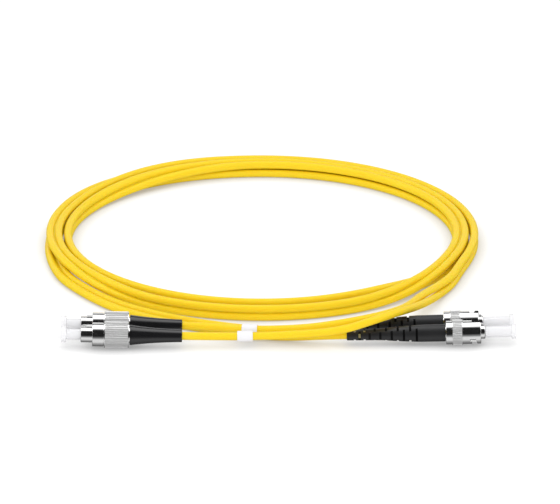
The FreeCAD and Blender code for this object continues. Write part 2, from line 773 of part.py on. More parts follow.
def fc_leg_route(strand):
    join = coil_point(strand, coil_start)
    heading = coil_heading(strand, coil_start)
    points = boot_run("fc", strand) + fc_leg_points[strand] + [join - heading * coil_run, join]
    return route(points, "strand " + strand + " FC leg")


def st_leg_route(strand):
    leave = coil_point(strand, coil_end)
    heading = coil_heading(strand, coil_end)
    points = [leave, leave + heading * coil_run] + st_leg_points[strand]
    points += reversed(boot_run("st", strand))
    return route(points, "strand " + strand + " ST leg")


def strand_tube(wire, name):
    solid = swept(wire, cord_r)
    wanted = math.pi * cord_r ** 2 * wire.Length
    print(name, "volume over section times length", round(solid.Volume / wanted, 4))
    return solid


def marker_sleeve(wire, at_x):
    """Short printed-label sleeve round a strand, at a place along X."""
    points = wire.discretize(Distance=0.25)
    index = min(range(len(points)), key=lambda i: abs(points[i].x - at_x))
    axis = (points[index + 1] - points[index - 1]).normalize()
    base = points[index] - axis * (label_len / 2)
    outer = Part.makeCylinder(cord_bore_r + label_wall, label_len, base, axis)
    return outer.cut(Part.makeCylinder(cord_bore_r, label_len, base, axis))


# Writing the pieces out

def fc_pieces():
    return {
        "dust_cap": fc_dust_cap(),
        "ferrule": ferrule(fc_ferrule_tip - fc_ferrule_len, fc_ferrule_tip),
        "ferrule_holder": fc_holder(),
        "buffer_tube": fc_buffer(),
        "spring": fc_spring(),
        "plug_frame": fc_plug_frame(),
        "coupling_nut": fc_coupling_nut(),
        "snap_ring": fc_snap_ring(),
        "stop_ring": fc_stop_ring(),
        "crimp_sleeve": crimp_sleeve(fc_stem_len),
        "jacket_end": jacket_end(fc_stem_len, fc_boot_len),
        "boot": fc_boot(),
    }


def st_pieces():
    ferrule_back = st_ferrule_tip - st_ferrule_len
    return {
        "dust_cap": st_dust_cap(),
        "ferrule": ferrule(ferrule_back, st_ferrule_tip),
        "buffer_tube": rod(-st_stem_len, ferrule_back, buffer_r),
        "plug_body": st_body(),
        "clip_ring": st_clip_ring(),
        "washer": st_washer(),
        "spring": st_spring(),
        "bayonet_nut": st_bayonet_nut(),
        "crimp_sleeve": crimp_sleeve(st_stem_len),
        "jacket_end": jacket_end(st_stem_len, st_boot_len),
        "boot": st_boot(),
    }


def cord_pieces():
    pieces = {}
    label_at = {"a": label_a_x, "b": label_b_x}
    coils = {strand: coil_wire(strand) for strand in ("a", "b")}
    print_least_gaps(coils)
    for strand in ("a", "b"):
        fc_wire = fc_leg_route(strand)
        st_wire = st_leg_route(strand)
        pieces["strand_" + strand + "_fc_leg"] = strand_tube(fc_wire, "strand " + strand + " FC leg")
        pieces["strand_" + strand + "_coil"] = strand_tube(coils[strand], "strand " + strand + " coil")
        pieces["strand_" + strand + "_st_leg"] = strand_tube(st_wire, "strand " + strand + " ST leg")
        pieces["strand_" + strand + "_label"] = marker_sleeve(fc_wire, label_at[strand])
    return pieces


def write(name, shape):
    if not shape.isValid():
        print(name, "is not valid")
    shape.exportStep("parts/" + name + ".step")


def main():
    os.makedirs("parts", exist_ok=True)
    for kind, make in (("fc", fc_pieces), ("st", st_pieces)):
        for piece, shape in make().items():
            for side in ("a", "b"):
                placed = shape.copy()
                placed.Placement = plug_place(kind, side)
                write(kind + "_" + side + "_" + piece, placed)
    for name, shape in cord_pieces().items():
        write(name, shape)


main()
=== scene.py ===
import logging
import math
from abc import ABC, abstractmethod
from dataclasses import dataclass, field
from enum import Enum
from typing import Any, Callable, NamedTuple, Optional, Sequence

import bmesh
import bpy
from mathutils import Matrix, Vector


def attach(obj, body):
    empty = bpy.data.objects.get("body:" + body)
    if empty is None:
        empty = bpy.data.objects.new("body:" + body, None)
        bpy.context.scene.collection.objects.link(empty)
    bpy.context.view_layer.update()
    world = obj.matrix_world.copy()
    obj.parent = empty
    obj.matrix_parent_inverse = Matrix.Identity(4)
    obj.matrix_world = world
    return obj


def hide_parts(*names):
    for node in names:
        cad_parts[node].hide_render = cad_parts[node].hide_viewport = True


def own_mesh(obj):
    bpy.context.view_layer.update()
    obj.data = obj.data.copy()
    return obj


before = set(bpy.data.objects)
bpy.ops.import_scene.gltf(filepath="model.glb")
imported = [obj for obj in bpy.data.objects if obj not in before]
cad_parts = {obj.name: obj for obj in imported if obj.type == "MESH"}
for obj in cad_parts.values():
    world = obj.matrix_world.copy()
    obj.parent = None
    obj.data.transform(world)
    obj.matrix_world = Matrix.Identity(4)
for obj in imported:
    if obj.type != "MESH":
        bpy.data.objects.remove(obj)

log = logging.getLogger("patch_cord")

Point = tuple[float, float, float]
Colour = tuple[float, float, float, float]
Range = tuple[float, float]
Piece = bpy.types.Object
Socket = bpy.types.NodeSocket
Row = list[bmesh.types.BMVert]

ROOT_BODY = "cord"
LATHE_SIDES = 96
SMALL_LATHE_SIDES = 64
SPRING_SIDES = 12
THREAD_SIDES = 3
WINDING_STEPS = 48
SHARP_ANGLE = math.radians(32)
TINY = 1e-7
ANGLE_PLAY = 0.01
NOISE_MIDDLE: Range = (0.3, 0.7)
FINE_DETAIL = 2.0
EVEN: Point = (1.0, 1.0, 1.0)


class Side(Enum):
    """Which strand: a lies outermost where the coil ends, b inside it."""

    OUTER = "a"
    INNER = "b"


class End(Enum):
    """Which end of the cord a plug is on."""

    THREADED = "fc"
    BAYONET = "st"


class Edge(float, Enum):
    """How far an edge is rounded in metres, from a sharp one to a moulded curve."""

    SHARP = 0.0
    CRISP = 0.00005
    FINE = 0.0001
    SLIGHT = 0.00015
    EASED = 0.0002
    BROKEN = 0.00025
    ROUND = 0.0003
    TIP = 0.00035
    FULL = 0.0004
    NOSE = 0.0005
    FLOWING = 0.002


class Corner(NamedTuple):
    """A corner of a turned outline: its place along the axis, its radius and its rounding."""

    along: float
    radius: float
    soft: Edge = Edge.SHARP


def grey(value: float) -> Colour:
    """Return an opaque grey of one linear value."""
    return (value, value, value, 1.0)


class Nodes:
    """A node tree that is being put together."""

    def __init__(self, tree: bpy.types.NodeTree) -> None:
        """Start on a tree.

        Args:
            tree: where the nodes go.
        """
        self.tree = tree

    def node(self, kind: str, settings: Optional[dict[str, Any]] = None, **inputs: Any) -> bpy.types.Node:
        """Add a node.

        Args:
            kind: the node's type.
            settings: its properties.
            **inputs: socket name, with underscores for spaces, to a value or a socket.

        Returns:
            The node.
        """
        node = self.tree.nodes.new(kind)
        for name, value in (settings or {}).items():
            setattr(node, name, value)
        for name, value in inputs.items():
            self.feed(node.inputs[name.replace("_", " ")], value)
        return node

    def feed(self, socket: Socket, value: Any) -> None:
        """Link a socket to another, or set its own value.

        Args:
            socket: the input.
            value: the other socket, or the value.
        """
        if isinstance(value, Socket):
            self.tree.links.new(value, socket)
        else:
            socket.default_value = value

    def math(self, operation: str, *values: Any) -> Socket:
        """Work out one sum.

        Args:
            operation: which sum.
            *values: one to three values or sockets.

        Returns:
            The socket that carries the result.
        """
        node = self.node("ShaderNodeMath", {"operation": operation})
        for socket, value in zip(node.inputs, values):
            self.feed(socket, value)
        return node.outputs[0]

    def plus(self, first: Any, second: Any) -> Socket:
        """Return two values added up."""
        return self.math("ADD", first, second)

    def times(self, first: Any, second: Any) -> Socket:
        """Return one value times another."""
        return self.math("MULTIPLY", first, second)

    def ranged(self, value: Socket, source: Range, target: Range = (0.0, 1.0)) -> Socket:
        """Return a value of one range laid out over another."""
        return self.node("ShaderNodeMapRange", Value=value, From_Min=source[0], From_Max=source[1],
                         To_Min=target[0], To_Max=target[1]).outputs["Result"]


class Shader(Nodes):
    """A node material that is being put together round one Principled shader."""

    def __init__(self, name: str) -> None:
        """Start a material.

        Args:
            name: what the material is called.
        """
        self.material = bpy.data.materials.new(name)
        self.material.use_nodes = True
        super().__init__(self.material.node_tree)
        self.principled = self.tree.nodes["Principled BSDF"]
        self.place = self.node("ShaderNodeTexCoord").outputs["Object"]

    def set(self, **values: Any) -> None:
        """Set or link the Principled shader's sockets; underscores stand for spaces."""
        for name, value in values.items():
            self.feed(self.principled.inputs[name.replace("_", " ")], value)

    def noise(self, scale: float, stretch: Point = EVEN, detail: float = 3.0) -> Socket:
        """Return a noise pattern: its cells for each metre, a factor on each axis and its octaves."""
        spot = self.node("ShaderNodeMapping", Vector=self.place, Scale=stretch).outputs["Vector"]
        return self.node("ShaderNodeTexNoise", Vector=spot, Scale=scale, Detail=detail).outputs["Fac"]

    def within(self, low: Point, high: Point) -> Socket:
        """Tell where the object's coordinates lie in a box.

        Args:
            low: the box's lowest corner.
            high: its highest corner.

        Returns:
            The socket that carries 1 inside the box and 0 elsewhere.
        """
        split = self.node("ShaderNodeSeparateXYZ", Vector=self.place)
        x, y, z = (self.math("COMPARE", coordinate, (start + stop) / 2, (stop - start) / 2)
                   for coordinate, start, stop in zip(split.outputs, low, high))
        return self.times(self.times(x, y), z)

    def tint(self, value: Socket, dark: Any, light: Any) -> Socket:
        """Drive the base colour between two colours by a pattern.

        Args:
            value: the pattern.
            dark: the colour, or the socket that carries it, where the pattern is 0.
            light: the same where it is 1.

        Returns:
            The socket that carries the mixed colour.
        """
        node = self.node("ShaderNodeMix", {"data_type": "RGBA"})
        by_name = {socket.identifier: socket for socket in node.inputs}
        for name, given in (("A_Color", dark), ("B_Color", light), ("Factor_Float", value)):
            self.feed(by_name[name], given)
        result = next(socket for socket in node.outputs if socket.identifier == "Result_Color")
        self.set(Base_Color=result)
        return result

    def roughen(self, scale: float, rough: Range, stretch: Point = EVEN) -> None:
        """Let the roughness wander between two values."""
        self.set(Roughness=self.ranged(self.noise(scale, stretch), NOISE_MIDDLE, rough))

    def bump(self, scale: float, strength: float, height: float, stretch: Point = EVEN) -> None:
        """Raise the surface by a fine noise.

        Args:
            scale: its cells for each metre.
            strength: how much of it shows.
            height: its height in metres.
            stretch: a factor on each axis.
        """
        pattern = self.noise(scale, stretch, FINE_DETAIL)
        node = self.node("ShaderNodeBump", Strength=strength, Distance=height, Height=pattern)
        self.set(Normal=node.outputs["Normal"])


class PaintedShade(NamedTuple):
    """Painted shade: the colour that a finish has inside a box, which two corners give."""

    colour: Colour
    low: Point
    high: Point


@dataclass(frozen=True)
class Finish(ABC):
    """What every finish has: its name, a slot of the record or a variant of one, and its roughness."""

    name: str
    rough: Range

    @abstractmethod
    def make(self) -> bpy.types.Material:
        """Return the finish as a node material."""


@dataclass(frozen=True)
class Moulded(Finish):
    """A moulded or extruded plastic or rubber with slight unevenness, and painted shade inside a box if it
    is given one.
    """

    dark: Colour
    light: Colour
    glow: float = 0.0
    glow_spread: Point = (0.9, 0.5, 0.1)
    glow_depth: float = 0.0015
    refraction: float = 1.5
    tone_scale: float = 120.0
    gloss_scale: float = 300.0
    grain_scale: float = 2500.0
    grain_strength: float = 0.25
    grain_height: float = 0.00002
    painted_shade: Optional[PaintedShade] = None

    def make(self) -> bpy.types.Material:
        """Build the finish.

        Returns:
            The node material.
        """
        shader = Shader(self.name)
        shader.set(Subsurface_Weight=self.glow, Subsurface_Radius=self.glow_spread,
                   Subsurface_Scale=self.glow_depth, IOR=self.refraction)
        base = shader.tint(shader.noise(self.tone_scale), self.dark, self.light)
        # painted shade: inside the box the base colour turns to the shade's darker colour
        if self.painted_shade:
            shader.tint(shader.within(self.painted_shade.low, self.painted_shade.high), base, self.painted_shade.colour)
        shader.roughen(self.gloss_scale, self.rough)
        shader.bump(self.grain_scale, self.grain_strength, self.grain_height)
        return shader.material


@dataclass(frozen=True)
class Turned(Finish):
    """A plated metal with faint marks of turning round the plug's axis."""

    dark: Colour
    light: Colour
    metal: float = 1.0
    tone_scale: float = 500.0
    gloss_scale: float = 900.0
    gloss_stretch: Point = (4.0, 1.0, 1.0)
    marks: Point = (9000.0, 150.0, 150.0)
    mark_strength: float = 0.2
    mark_height: float = 0.000004

    def make(self) -> bpy.types.Material:
        """Build the finish.

        Returns:
            The node material.
        """
        shader = Shader(self.name)
        shader.set(Metallic=self.metal)
        shader.tint(shader.noise(self.tone_scale), self.dark, self.light)
        shader.roughen(self.gloss_scale, self.rough, self.gloss_stretch)
        shader.bump(1.0, self.mark_strength, self.mark_height, self.marks)
        return shader.material


@dataclass(frozen=True)
class ClearPlastic(Finish):
    """Soft milky clear plastic of one colour."""

    colour: Colour
    clearness: float = 0.25
    refraction: float = 1.3
    gloss_scale: float = 400.0
    ripple_scale: float = 600.0
    ripple_strength: float = 0.1
    ripple_height: float = 0.000005

    def make(self) -> bpy.types.Material:
        """Build the finish.

        Returns:
            The node material.
        """
        shader = Shader(self.name)
        shader.set(Transmission_Weight=self.clearness, IOR=self.refraction, Base_Color=self.colour)
        shader.roughen(self.gloss_scale, self.rough)
        shader.bump(self.ripple_scale, self.ripple_strength, self.ripple_height)
        return shader.material


class Finishes:
    """All finishes of the cord, made once and shared."""

    def __init__(self) -> None:
        """Make every finish."""
        # painted shade on the strands where they lie inside the ST boots
        painted_boot_shade = PaintedShade((0.42, 0.36, 0.14, 1.0), (0.022, -0.006, 0.0), (0.06, 0.009, 0.0068))
        recipes: Sequence[Finish] = (
            Moulded("yellow_jacket", (0.36, 0.46), (0.85, 0.605, 0.007, 1.0), (0.89, 0.645, 0.012, 1.0),
                    glow=0.38, refraction=1.38, painted_shade=painted_boot_shade),
            Moulded("black_boot", (0.17, 0.23), (0.006, 0.006, 0.007, 1.0), (0.011, 0.011, 0.012, 1.0),
                    refraction=1.56),
            Moulded("matte_boot", (0.42, 0.52), (0.012, 0.012, 0.013, 1.0), (0.018, 0.018, 0.019, 1.0),
                    refraction=1.45),
            # painted shade: a darker, duller black for the faces down in the ST boots' slots
            Moulded("boot_slot_shade", (0.8, 0.9), grey(0.006), grey(0.01), refraction=1.15),
            Turned("nickel", (0.07, 0.14), grey(0.8), (0.88, 0.88, 0.875, 1.0)),
            Turned("knurled_nickel", (0.32, 0.4), grey(0.6), (0.68, 0.68, 0.675, 1.0), metal=0.55),
            Turned("nickel_silver", (0.18, 0.3), (0.62, 0.58, 0.5, 1.0), (0.7, 0.67, 0.6, 1.0)),
            Turned("spring_steel", (0.2, 0.35), grey(0.45), grey(0.58)),
            Moulded("zirconia", (0.08, 0.14), (0.9, 0.9, 0.89, 1.0), (0.95, 0.95, 0.94, 1.0), glow=0.3),
            ClearPlastic("clear_cap", (0.2, 0.26), (0.97, 0.967, 0.985, 1.0)),
            Moulded("buffer", (0.4, 0.5), (0.78, 0.77, 0.72, 1.0), (0.86, 0.85, 0.8, 1.0)),
            Moulded("marker", (0.45, 0.6), (0.8, 0.795, 0.82, 1.0), (0.85, 0.845, 0.87, 1.0)),
        )
        self.made = {recipe.name: recipe.make() for recipe in recipes}

    def dress(self, piece: Piece, slot: str, look: Optional[str] = None) -> None:
        """Give a piece one finish all over.

        Args:
            piece: the object to dress.
            slot: the record's slot.
            look: a variant of the slot's finish, if the piece has one.
        """
        piece.data.materials.clear()
        piece.data.materials.append(self.made[look or slot])

    def dress_node(self, node: Piece, slot: str) -> None:
        """Give a carried-over CAD node a better material in the slots it has.

        Args:
            node: the CAD node.
            slot: the record's slot.
        """
        if not node.material_slots:
            node.data.materials.append(self.made[slot])
        for holder in node.material_slots:
            holder.material = self.made[slot]


def softened(outline: Sequence[Corner], steps: int = 4, longest: float = 0.45) -> list[Range]:
    """Round the corners of a closed outline.

    Args:
        outline: the corners, in order.
        steps: how many short runs a rounded corner gets.
        longest: the share of an edge that one rounding may take.

    Returns:
        The outline's points as (along, radius).
    """
    points: list[Range] = []
    count = len(outline)
    for i, corner in enumerate(outline):
        here = Vector((corner.along, corner.radius))
        before = Vector(outline[i - 1][:2]) - here
        after = Vector(outline[(i + 1) % count][:2]) - here
        reach = min(corner.soft.value, longest * before.length, longest * after.length)
        if reach < TINY:
            points.append((here.x, here.y))
            continue
        start = here + before.normalized() * reach
        end = here + after.normalized() * reach
        for step in range(steps + 1):
            t = step / steps
            spot = start * (1 - t) ** 2 + here * 2 * t * (1 - t) + end * t ** 2
            points.append((spot.x, spot.y))
    return points


def smooth(piece: Piece) -> None:
    """Shade a mesh smooth, with sharp edges where it turns."""
    piece.data.polygons.foreach_set("use_smooth", [True] * len(piece.data.polygons))
    piece.data.set_sharp_from_angle(angle=SHARP_ANGLE)


def mesh_piece(name: str, shape: bmesh.types.BMesh) -> Piece:
    """Turn a bmesh into a linked object with outward faces and smooth shading.

    Args:
        name: the piece's name.
        shape: its mesh, which is freed.

    Returns:
        The new object.
    """
    bmesh.ops.recalc_face_normals(shape, faces=shape.faces)
    data = bpy.data.meshes.new(name)
    shape.to_mesh(data)
    shape.free()
    piece = bpy.data.objects.new(name, data)
    bpy.context.scene.collection.objects.link(piece)
    smooth(piece)
    return piece


def discard(piece: Piece) -> None:
    """Remove an object and its mesh.

    Args:
        piece: the object, which has served its turn.
    """
    data = piece.data
    bpy.data.objects.remove(piece)
    bpy.data.meshes.remove(data)


def lathe(name: str, outline: Sequence[Corner], sides: int = LATHE_SIDES) -> Piece:
    """Turn a closed outline round the X axis.

    Args:
        name: the piece's name.
        outline: its corners; two corners on the axis close a solid.
        sides: how many steps the turn has.

    Returns:
        The turned piece.
    """
    shape = bmesh.new()
    rings: list[Row] = []
    for along, radius in softened(outline):
        if radius < TINY:
            rings.append([shape.verts.new((along, 0.0, 0.0))])
            continue
        turn = [2 * math.pi * i / sides for i in range(sides)]
        rings.append([shape.verts.new((along, radius * math.cos(a), radius * math.sin(a))) for a in turn])
    for here, there in zip(rings, rings[1:] + rings[:1]):
        if len(here) == 1 and len(there) == 1:
            continue
        for i in range(sides):
            j = (i + 1) % sides
            if len(here) == 1:
                shape.faces.new((here[0], there[i], there[j]))
            elif len(there) == 1:
                shape.faces.new((here[i], there[0], here[j]))
            else:
                shape.faces.new((here[i], there[i], there[j], here[j]))
    return mesh_piece(name, shape)


def skin(shape: bmesh.types.BMesh, rows: Sequence[Row]) -> None:
    """Close four-cornered rows of vertices into one tube with both ends capped.

    Args:
        shape: the mesh that holds them.
        rows: the rows, each with its corners in the same order.
    """
    for here, there in zip(rows, rows[1:]):
        for k in range(4):
            shape.faces.new((here[k], here[(k + 1) % 4], there[(k + 1) % 4], there[k]))
    shape.faces.new(rows[0])
    shape.faces.new(rows[-1])


def box_mesh(name: str, low: Point, high: Point, edge: float = 0.12) -> Piece:
    """Make a box with slightly rounded edges.

    Args:
        name: the piece's name.
        low: its lowest corner.
        high: its highest corner.
        edge: the rounding as a share of its shortest side.

    Returns:
        The box.
    """
    shape = bmesh.new()
    bmesh.ops.create_cube(shape, size=1.0)
    span = Vector(high) - Vector(low)
    middle = (Vector(high) + Vector(low)) / 2
    place = Matrix.Translation(middle) @ Matrix.Diagonal((*span, 1.0))
    bmesh.ops.transform(shape, matrix=place, verts=shape.verts)
    bmesh.ops.bevel(shape, geom=list(shape.edges), offset=min(span) * edge, segments=2, affect="EDGES")
    return mesh_piece(name, shape)


def settle(piece: Piece) -> None:
    """Apply everything that a piece's modifiers do, and remove them.

    Args:
        piece: the object, which gets the result as its mesh.
    """
    bpy.context.view_layer.update()
    graph = bpy.context.evaluated_depsgraph_get()
    result = bpy.data.meshes.new_from_object(piece.evaluated_get(graph))
    result.name = piece.name
    piece.modifiers.clear()
    piece.data = result
    smooth(piece)


def joined(name: str, parts: Sequence[Piece]) -> Piece:
    """Join meshes into one piece.

    Args:
        name: the joined piece's name.
        parts: the meshes, which are used up.

    Returns:
        One object that holds them all.
    """
    shape = bmesh.new()
    for part in parts:
        shape.from_mesh(part.data)
        discard(part)
    return mesh_piece(name, shape)


def cut(piece: Piece, tool: Piece) -> None:
    """Cut one closed mesh out of another.

    Args:
        piece: the object that is cut.
        tool: the mesh that cuts it, which is used up.
    """
    modifier = piece.modifiers.new("cut", "BOOLEAN")
    modifier.operation = "DIFFERENCE"
    modifier.solver = "EXACT"
    modifier.object = tool
    settle(piece)
    discard(tool)


class Tree(Nodes):
    """A Geometry Nodes tree that is being put together, with named inputs."""

    def __init__(self, name: str) -> None:
        """Start a tree that takes and gives geometry.

        Args:
            name: what the tree is called.
        """
        super().__init__(bpy.data.node_groups.new(name, "GeometryNodeTree"))
        for way in ("INPUT", "OUTPUT"):
            self.tree.interface.new_socket("Geometry", in_out=way, socket_type="NodeSocketGeometry")
        self.start = self.node("NodeGroupInput")
        self.end = self.node("NodeGroupOutput")
        self.base = self.start.outputs["Geometry"]

    def sizes(self, *names: str, kind: str = "Float") -> list[Socket]:
        """Add named inputs.

        Args:
            *names: what they are called.
            kind: the type that all of them have.

        Returns:
            The sockets that carry them inside the tree.
        """
        for name in names:
            self.tree.interface.new_socket(name, in_out="INPUT", socket_type=f"NodeSocket{kind}")
        return [self.start.outputs[name] for name in names]

    def vector(self, x: Any = 0.0, y: Any = 0.0, z: Any = 0.0) -> Socket:
        """Return a vector of three values."""
        return self.node("ShaderNodeCombineXYZ", X=x, Y=y, Z=z).outputs[0]

    def block(self, length: Any, width: Any, height: Any) -> Socket:
        """Return a box round the origin."""
        return self.node("GeometryNodeMeshCube", Size=self.vector(length, width, height)).outputs["Mesh"]

    def repeated(self, count: Any, spot: Socket, shape: Socket, turn: Socket) -> Socket:
        """Repeat a shape.

        Args:
            count: how many copies.
            spot: where each one goes, by its index.
            shape: what is repeated.
            turn: how each one is turned, by its index.

        Returns:
            The socket that carries the copies.
        """
        dots = self.node("GeometryNodePoints", Count=count, Position=spot).outputs[0]
        placed = self.node("GeometryNodeInstanceOnPoints", Points=dots, Instance=shape, Rotation=turn)
        return placed.outputs[0]

    def with_base(self, geometry: Socket) -> Socket:
        """Join something to the geometry that the tree is given.

        Args:
            geometry: what is joined to it.

        Returns:
            The socket that carries both.
        """
        both = self.node("GeometryNodeJoinGeometry")
        for part in (self.base, geometry):
            self.feed(both.inputs[0], part)
        return both.outputs[0]

    def finish(self, geometry: Socket) -> bpy.types.NodeTree:
        """Add the input Finish, and end the tree in Realize Instances and Set Material.

        Args:
            geometry: what the tree has made.

        Returns:
            The finished tree.
        """
        material, = self.sizes("Finish", kind="Material")
        real = self.node("GeometryNodeRealizeInstances", Geometry=geometry).outputs[0]
        dressed = self.node("GeometryNodeSetMaterial", Geometry=real, Material=material).outputs[0]
        self.feed(self.end.inputs[0], dressed)
        return self.tree


def run_tree(piece: Piece, tree: bpy.types.NodeTree, values: dict[str, Any]) -> None:
    """Run a Geometry Nodes tree on a piece and keep the result as its mesh.

    Args:
        piece: the object that the tree works on.
        tree: the tree.
        values: its named inputs.
    """
    modifier = piece.modifiers.new(tree.name, "NODES")
    modifier.node_group = tree
    for item in tree.interface.items_tree:
        if item.item_type == "SOCKET" and item.in_out == "INPUT" and item.name in values:
            modifier[item.identifier] = values[item.name]
    settle(piece)


def knurl_tree() -> bpy.types.NodeTree:
    """Build the tree that sets straight V ridges round a turned band.

    Returns:
        A tree with inputs Count, Radius, Start, Length, Depth and Finish.
    """
    tree = Tree("straight_knurl")
    count, = tree.sizes("Count", kind="Int")
    radius, start, length, depth = tree.sizes("Radius", "Start", "Length", "Depth")
    index = tree.node("GeometryNodeInputIndex").outputs[0]
    angle = tree.times(index, tree.math("DIVIDE", 2 * math.pi, count))
    middle = tree.plus(start, tree.times(length, 0.5))
    spot = tree.vector(middle, tree.times(radius, tree.math("COSINE", angle)),
                       tree.times(radius, tree.math("SINE", angle)))
    side = tree.times(depth, 2.0)
    corner_out = tree.vector(tree.plus(angle, math.pi / 4))
    ridges = tree.repeated(count, spot, tree.block(length, side, side), corner_out)
    return tree.finish(tree.with_base(ridges))


def flex_slot_tree() -> bpy.types.NodeTree:
    """Build the tree that cuts crossed pairs of slots, closer together towards the tip.

    Returns:
        A tree with inputs Count, First, Pitch, Growth, Width, Open Slots, Open Floor, Floor, Reach and
        Finish.
    """
    tree = Tree("flex_slots")
    count, = tree.sizes("Count", kind="Int")
    first, pitch, growth, width = tree.sizes("First", "Pitch", "Growth", "Width")
    open_slots, open_floor, closed_floor, reach = tree.sizes("Open Slots", "Open Floor", "Floor", "Reach")
    index = tree.node("GeometryNodeInputIndex").outputs[0]
    number = tree.math("FLOOR", tree.times(index, 0.5))
    pairs = tree.times(tree.times(number, tree.math("SUBTRACT", number, 1.0)), 0.5)
    along = tree.plus(tree.plus(first, tree.times(pitch, number)), tree.times(growth, pairs))
    quarter = tree.times(tree.math("MODULO", number, 2.0), math.pi / 2)
    angle = tree.plus(quarter, tree.times(tree.math("MODULO", index, 2.0), math.pi))
    near_tip = tree.math("LESS_THAN", number, open_slots)
    floor = tree.plus(closed_floor, tree.times(near_tip, tree.math("SUBTRACT", open_floor, closed_floor)))
    spot = tree.vector(along, tree.times(tree.math("SINE", angle), tree.times(floor, -1.0)),
                       tree.times(tree.math("COSINE", angle), floor))
    block = tree.block(width, tree.times(reach, 2.0), reach)
    raised = tree.node("GeometryNodeTransform", Geometry=block,
                       Translation=tree.vector(z=tree.times(reach, 0.5))).outputs[0]
    cutters = tree.repeated(tree.times(count, 2.0), spot, raised, tree.vector(angle))
    real = tree.node("GeometryNodeRealizeInstances", Geometry=cutters).outputs[0]
    boolean = tree.node("GeometryNodeMeshBoolean", {"operation": "DIFFERENCE", "solver": "EXACT"},
                        Mesh_1=tree.base, Mesh_2=real)
    return tree.finish(boolean.outputs[0])


def winding_tree() -> bpy.types.NodeTree:
    """Build the tree that winds a thread's crest or a spring's wire as a true helix.

    Returns:
        A tree with inputs Radius, Start, Length, Turns, Wire (its radius), Sides and Finish.
    """
    tree = Tree("helix_winding")
    radius, start, length, turns, wire = tree.sizes("Radius", "Start", "Length", "Turns", "Wire")
    sides, = tree.sizes("Sides", kind="Int")
    spiral = tree.node("GeometryNodeCurveSpiral", Resolution=WINDING_STEPS, Rotations=turns, Height=length,
                       Start_Radius=radius, End_Radius=radius).outputs[0]
    rim = tree.node("GeometryNodeCurvePrimitiveCircle", Resolution=sides, Radius=wire).outputs[0]
    wound = tree.node("GeometryNodeCurveToMesh", Curve=spiral, Profile_Curve=rim, Fill_Caps=True)
    laid = tree.node("GeometryNodeTransform", Geometry=wound.outputs[0], Rotation=(0.0, math.pi / 2, 0.0),
                     Translation=tree.vector(start)).outputs[0]
    return tree.finish(tree.with_base(laid))


class Trees:
    """The Geometry Nodes trees of the plugs, made once and shared."""

    def __init__(self) -> None:
        """Make every tree."""
        self.knurl = knurl_tree()
        self.flex_slots = flex_slot_tree()
        self.winding = winding_tree()


@dataclass(frozen=True)
class Seat:
    """Where a plug's own axis lies: origin at its boot's front face, heading and tilt in degrees."""

    origin: Point
    heading: float
    tilt: float

    def matrix(self) -> Matrix:
        """Work out the plug's place.

        Returns:
            The turn and shift from the plug's own axis to the row frame.
        """
        turn = Matrix.Rotation(math.radians(self.heading), 4, "Z")
        lean = Matrix.Rotation(-math.radians(self.tilt), 4, "Y")
        return Matrix.Translation(self.origin) @ turn @ lean

    def at(self, along: float) -> Vector:
        """Return the point of the row frame at a distance along the plug's axis."""
        return self.matrix() @ Vector((along, 0.0, 0.0))


SEATS: dict[tuple[End, Side], Seat] = {
    (End.THREADED, Side.OUTER): Seat((-0.05943984, 0.0042, 0.00499296), 180.0, 1.0),
    (End.THREADED, Side.INNER): Seat((-0.05943984, -0.0064, 0.00499296), 180.0, 1.0),
    (End.BAYONET, Side.OUTER): Seat((0.05878573, -0.0033, 0.00473422), 0.0, 1.5),
    (End.BAYONET, Side.INNER): Seat((0.05803573, 0.0066, 0.00473422), 0.0, 1.5),
}


class Spring(NamedTuple):
    """A plug's spring: the seat that stays, the seat that is pressed, its coil and its joint."""

    fixed: float
    pressed: float
    mean_r: float
    turns: float
    joint: str
    travel: float = 0.0015
    wire_r: float = 0.00025
    clearance: float = 0.00002


class DustCap(NamedTuple):
    """A plug's clear cap: a tube with a closed end, a flange round it and a dish in its end face."""

    back: float
    end: float
    tube_r: float
    flange_r: float
    flange_len: float
    lip_r: float
    dish_r: float = 0.0017
    dish_depth: float = 0.0003
    play: float = 0.00003
    head_room: float = 0.0005


class Knurl(NamedTuple):
    """The knurled band of a nut: where it is, its ridges and the plain rim at both its ends."""

    back: float
    front: float
    radius: float
    ridges: int
    depth: float
    rim: float
    soft: Edge
    rim_inset: float = 0.4
    ridge_share: float = 0.7

    @property
    def valley_r(self) -> float:
        """Return the radius that the ridges stand on."""
        return self.radius - self.depth

    def outline(self) -> list[Corner]:
        """Draw the band and its rims, with the ridges left out.

        Returns:
            The corners, from the back to the front.
        """
        rim_r = self.radius - self.depth * self.rim_inset
        start, stop = self.back + self.rim, self.front - self.rim
        return [
            Corner(self.back, rim_r, self.soft), Corner(start, rim_r, Edge.CRISP),
            Corner(start, self.valley_r), Corner(stop, self.valley_r), Corner(stop, rim_r, Edge.CRISP),
            Corner(self.front, rim_r, self.soft)]

    def holds(self, along: float, radius: float) -> bool:
        """Return whether a place is on the ridges."""
        return self.back + self.rim < along < self.front - self.rim and radius > self.valley_r - self.depth


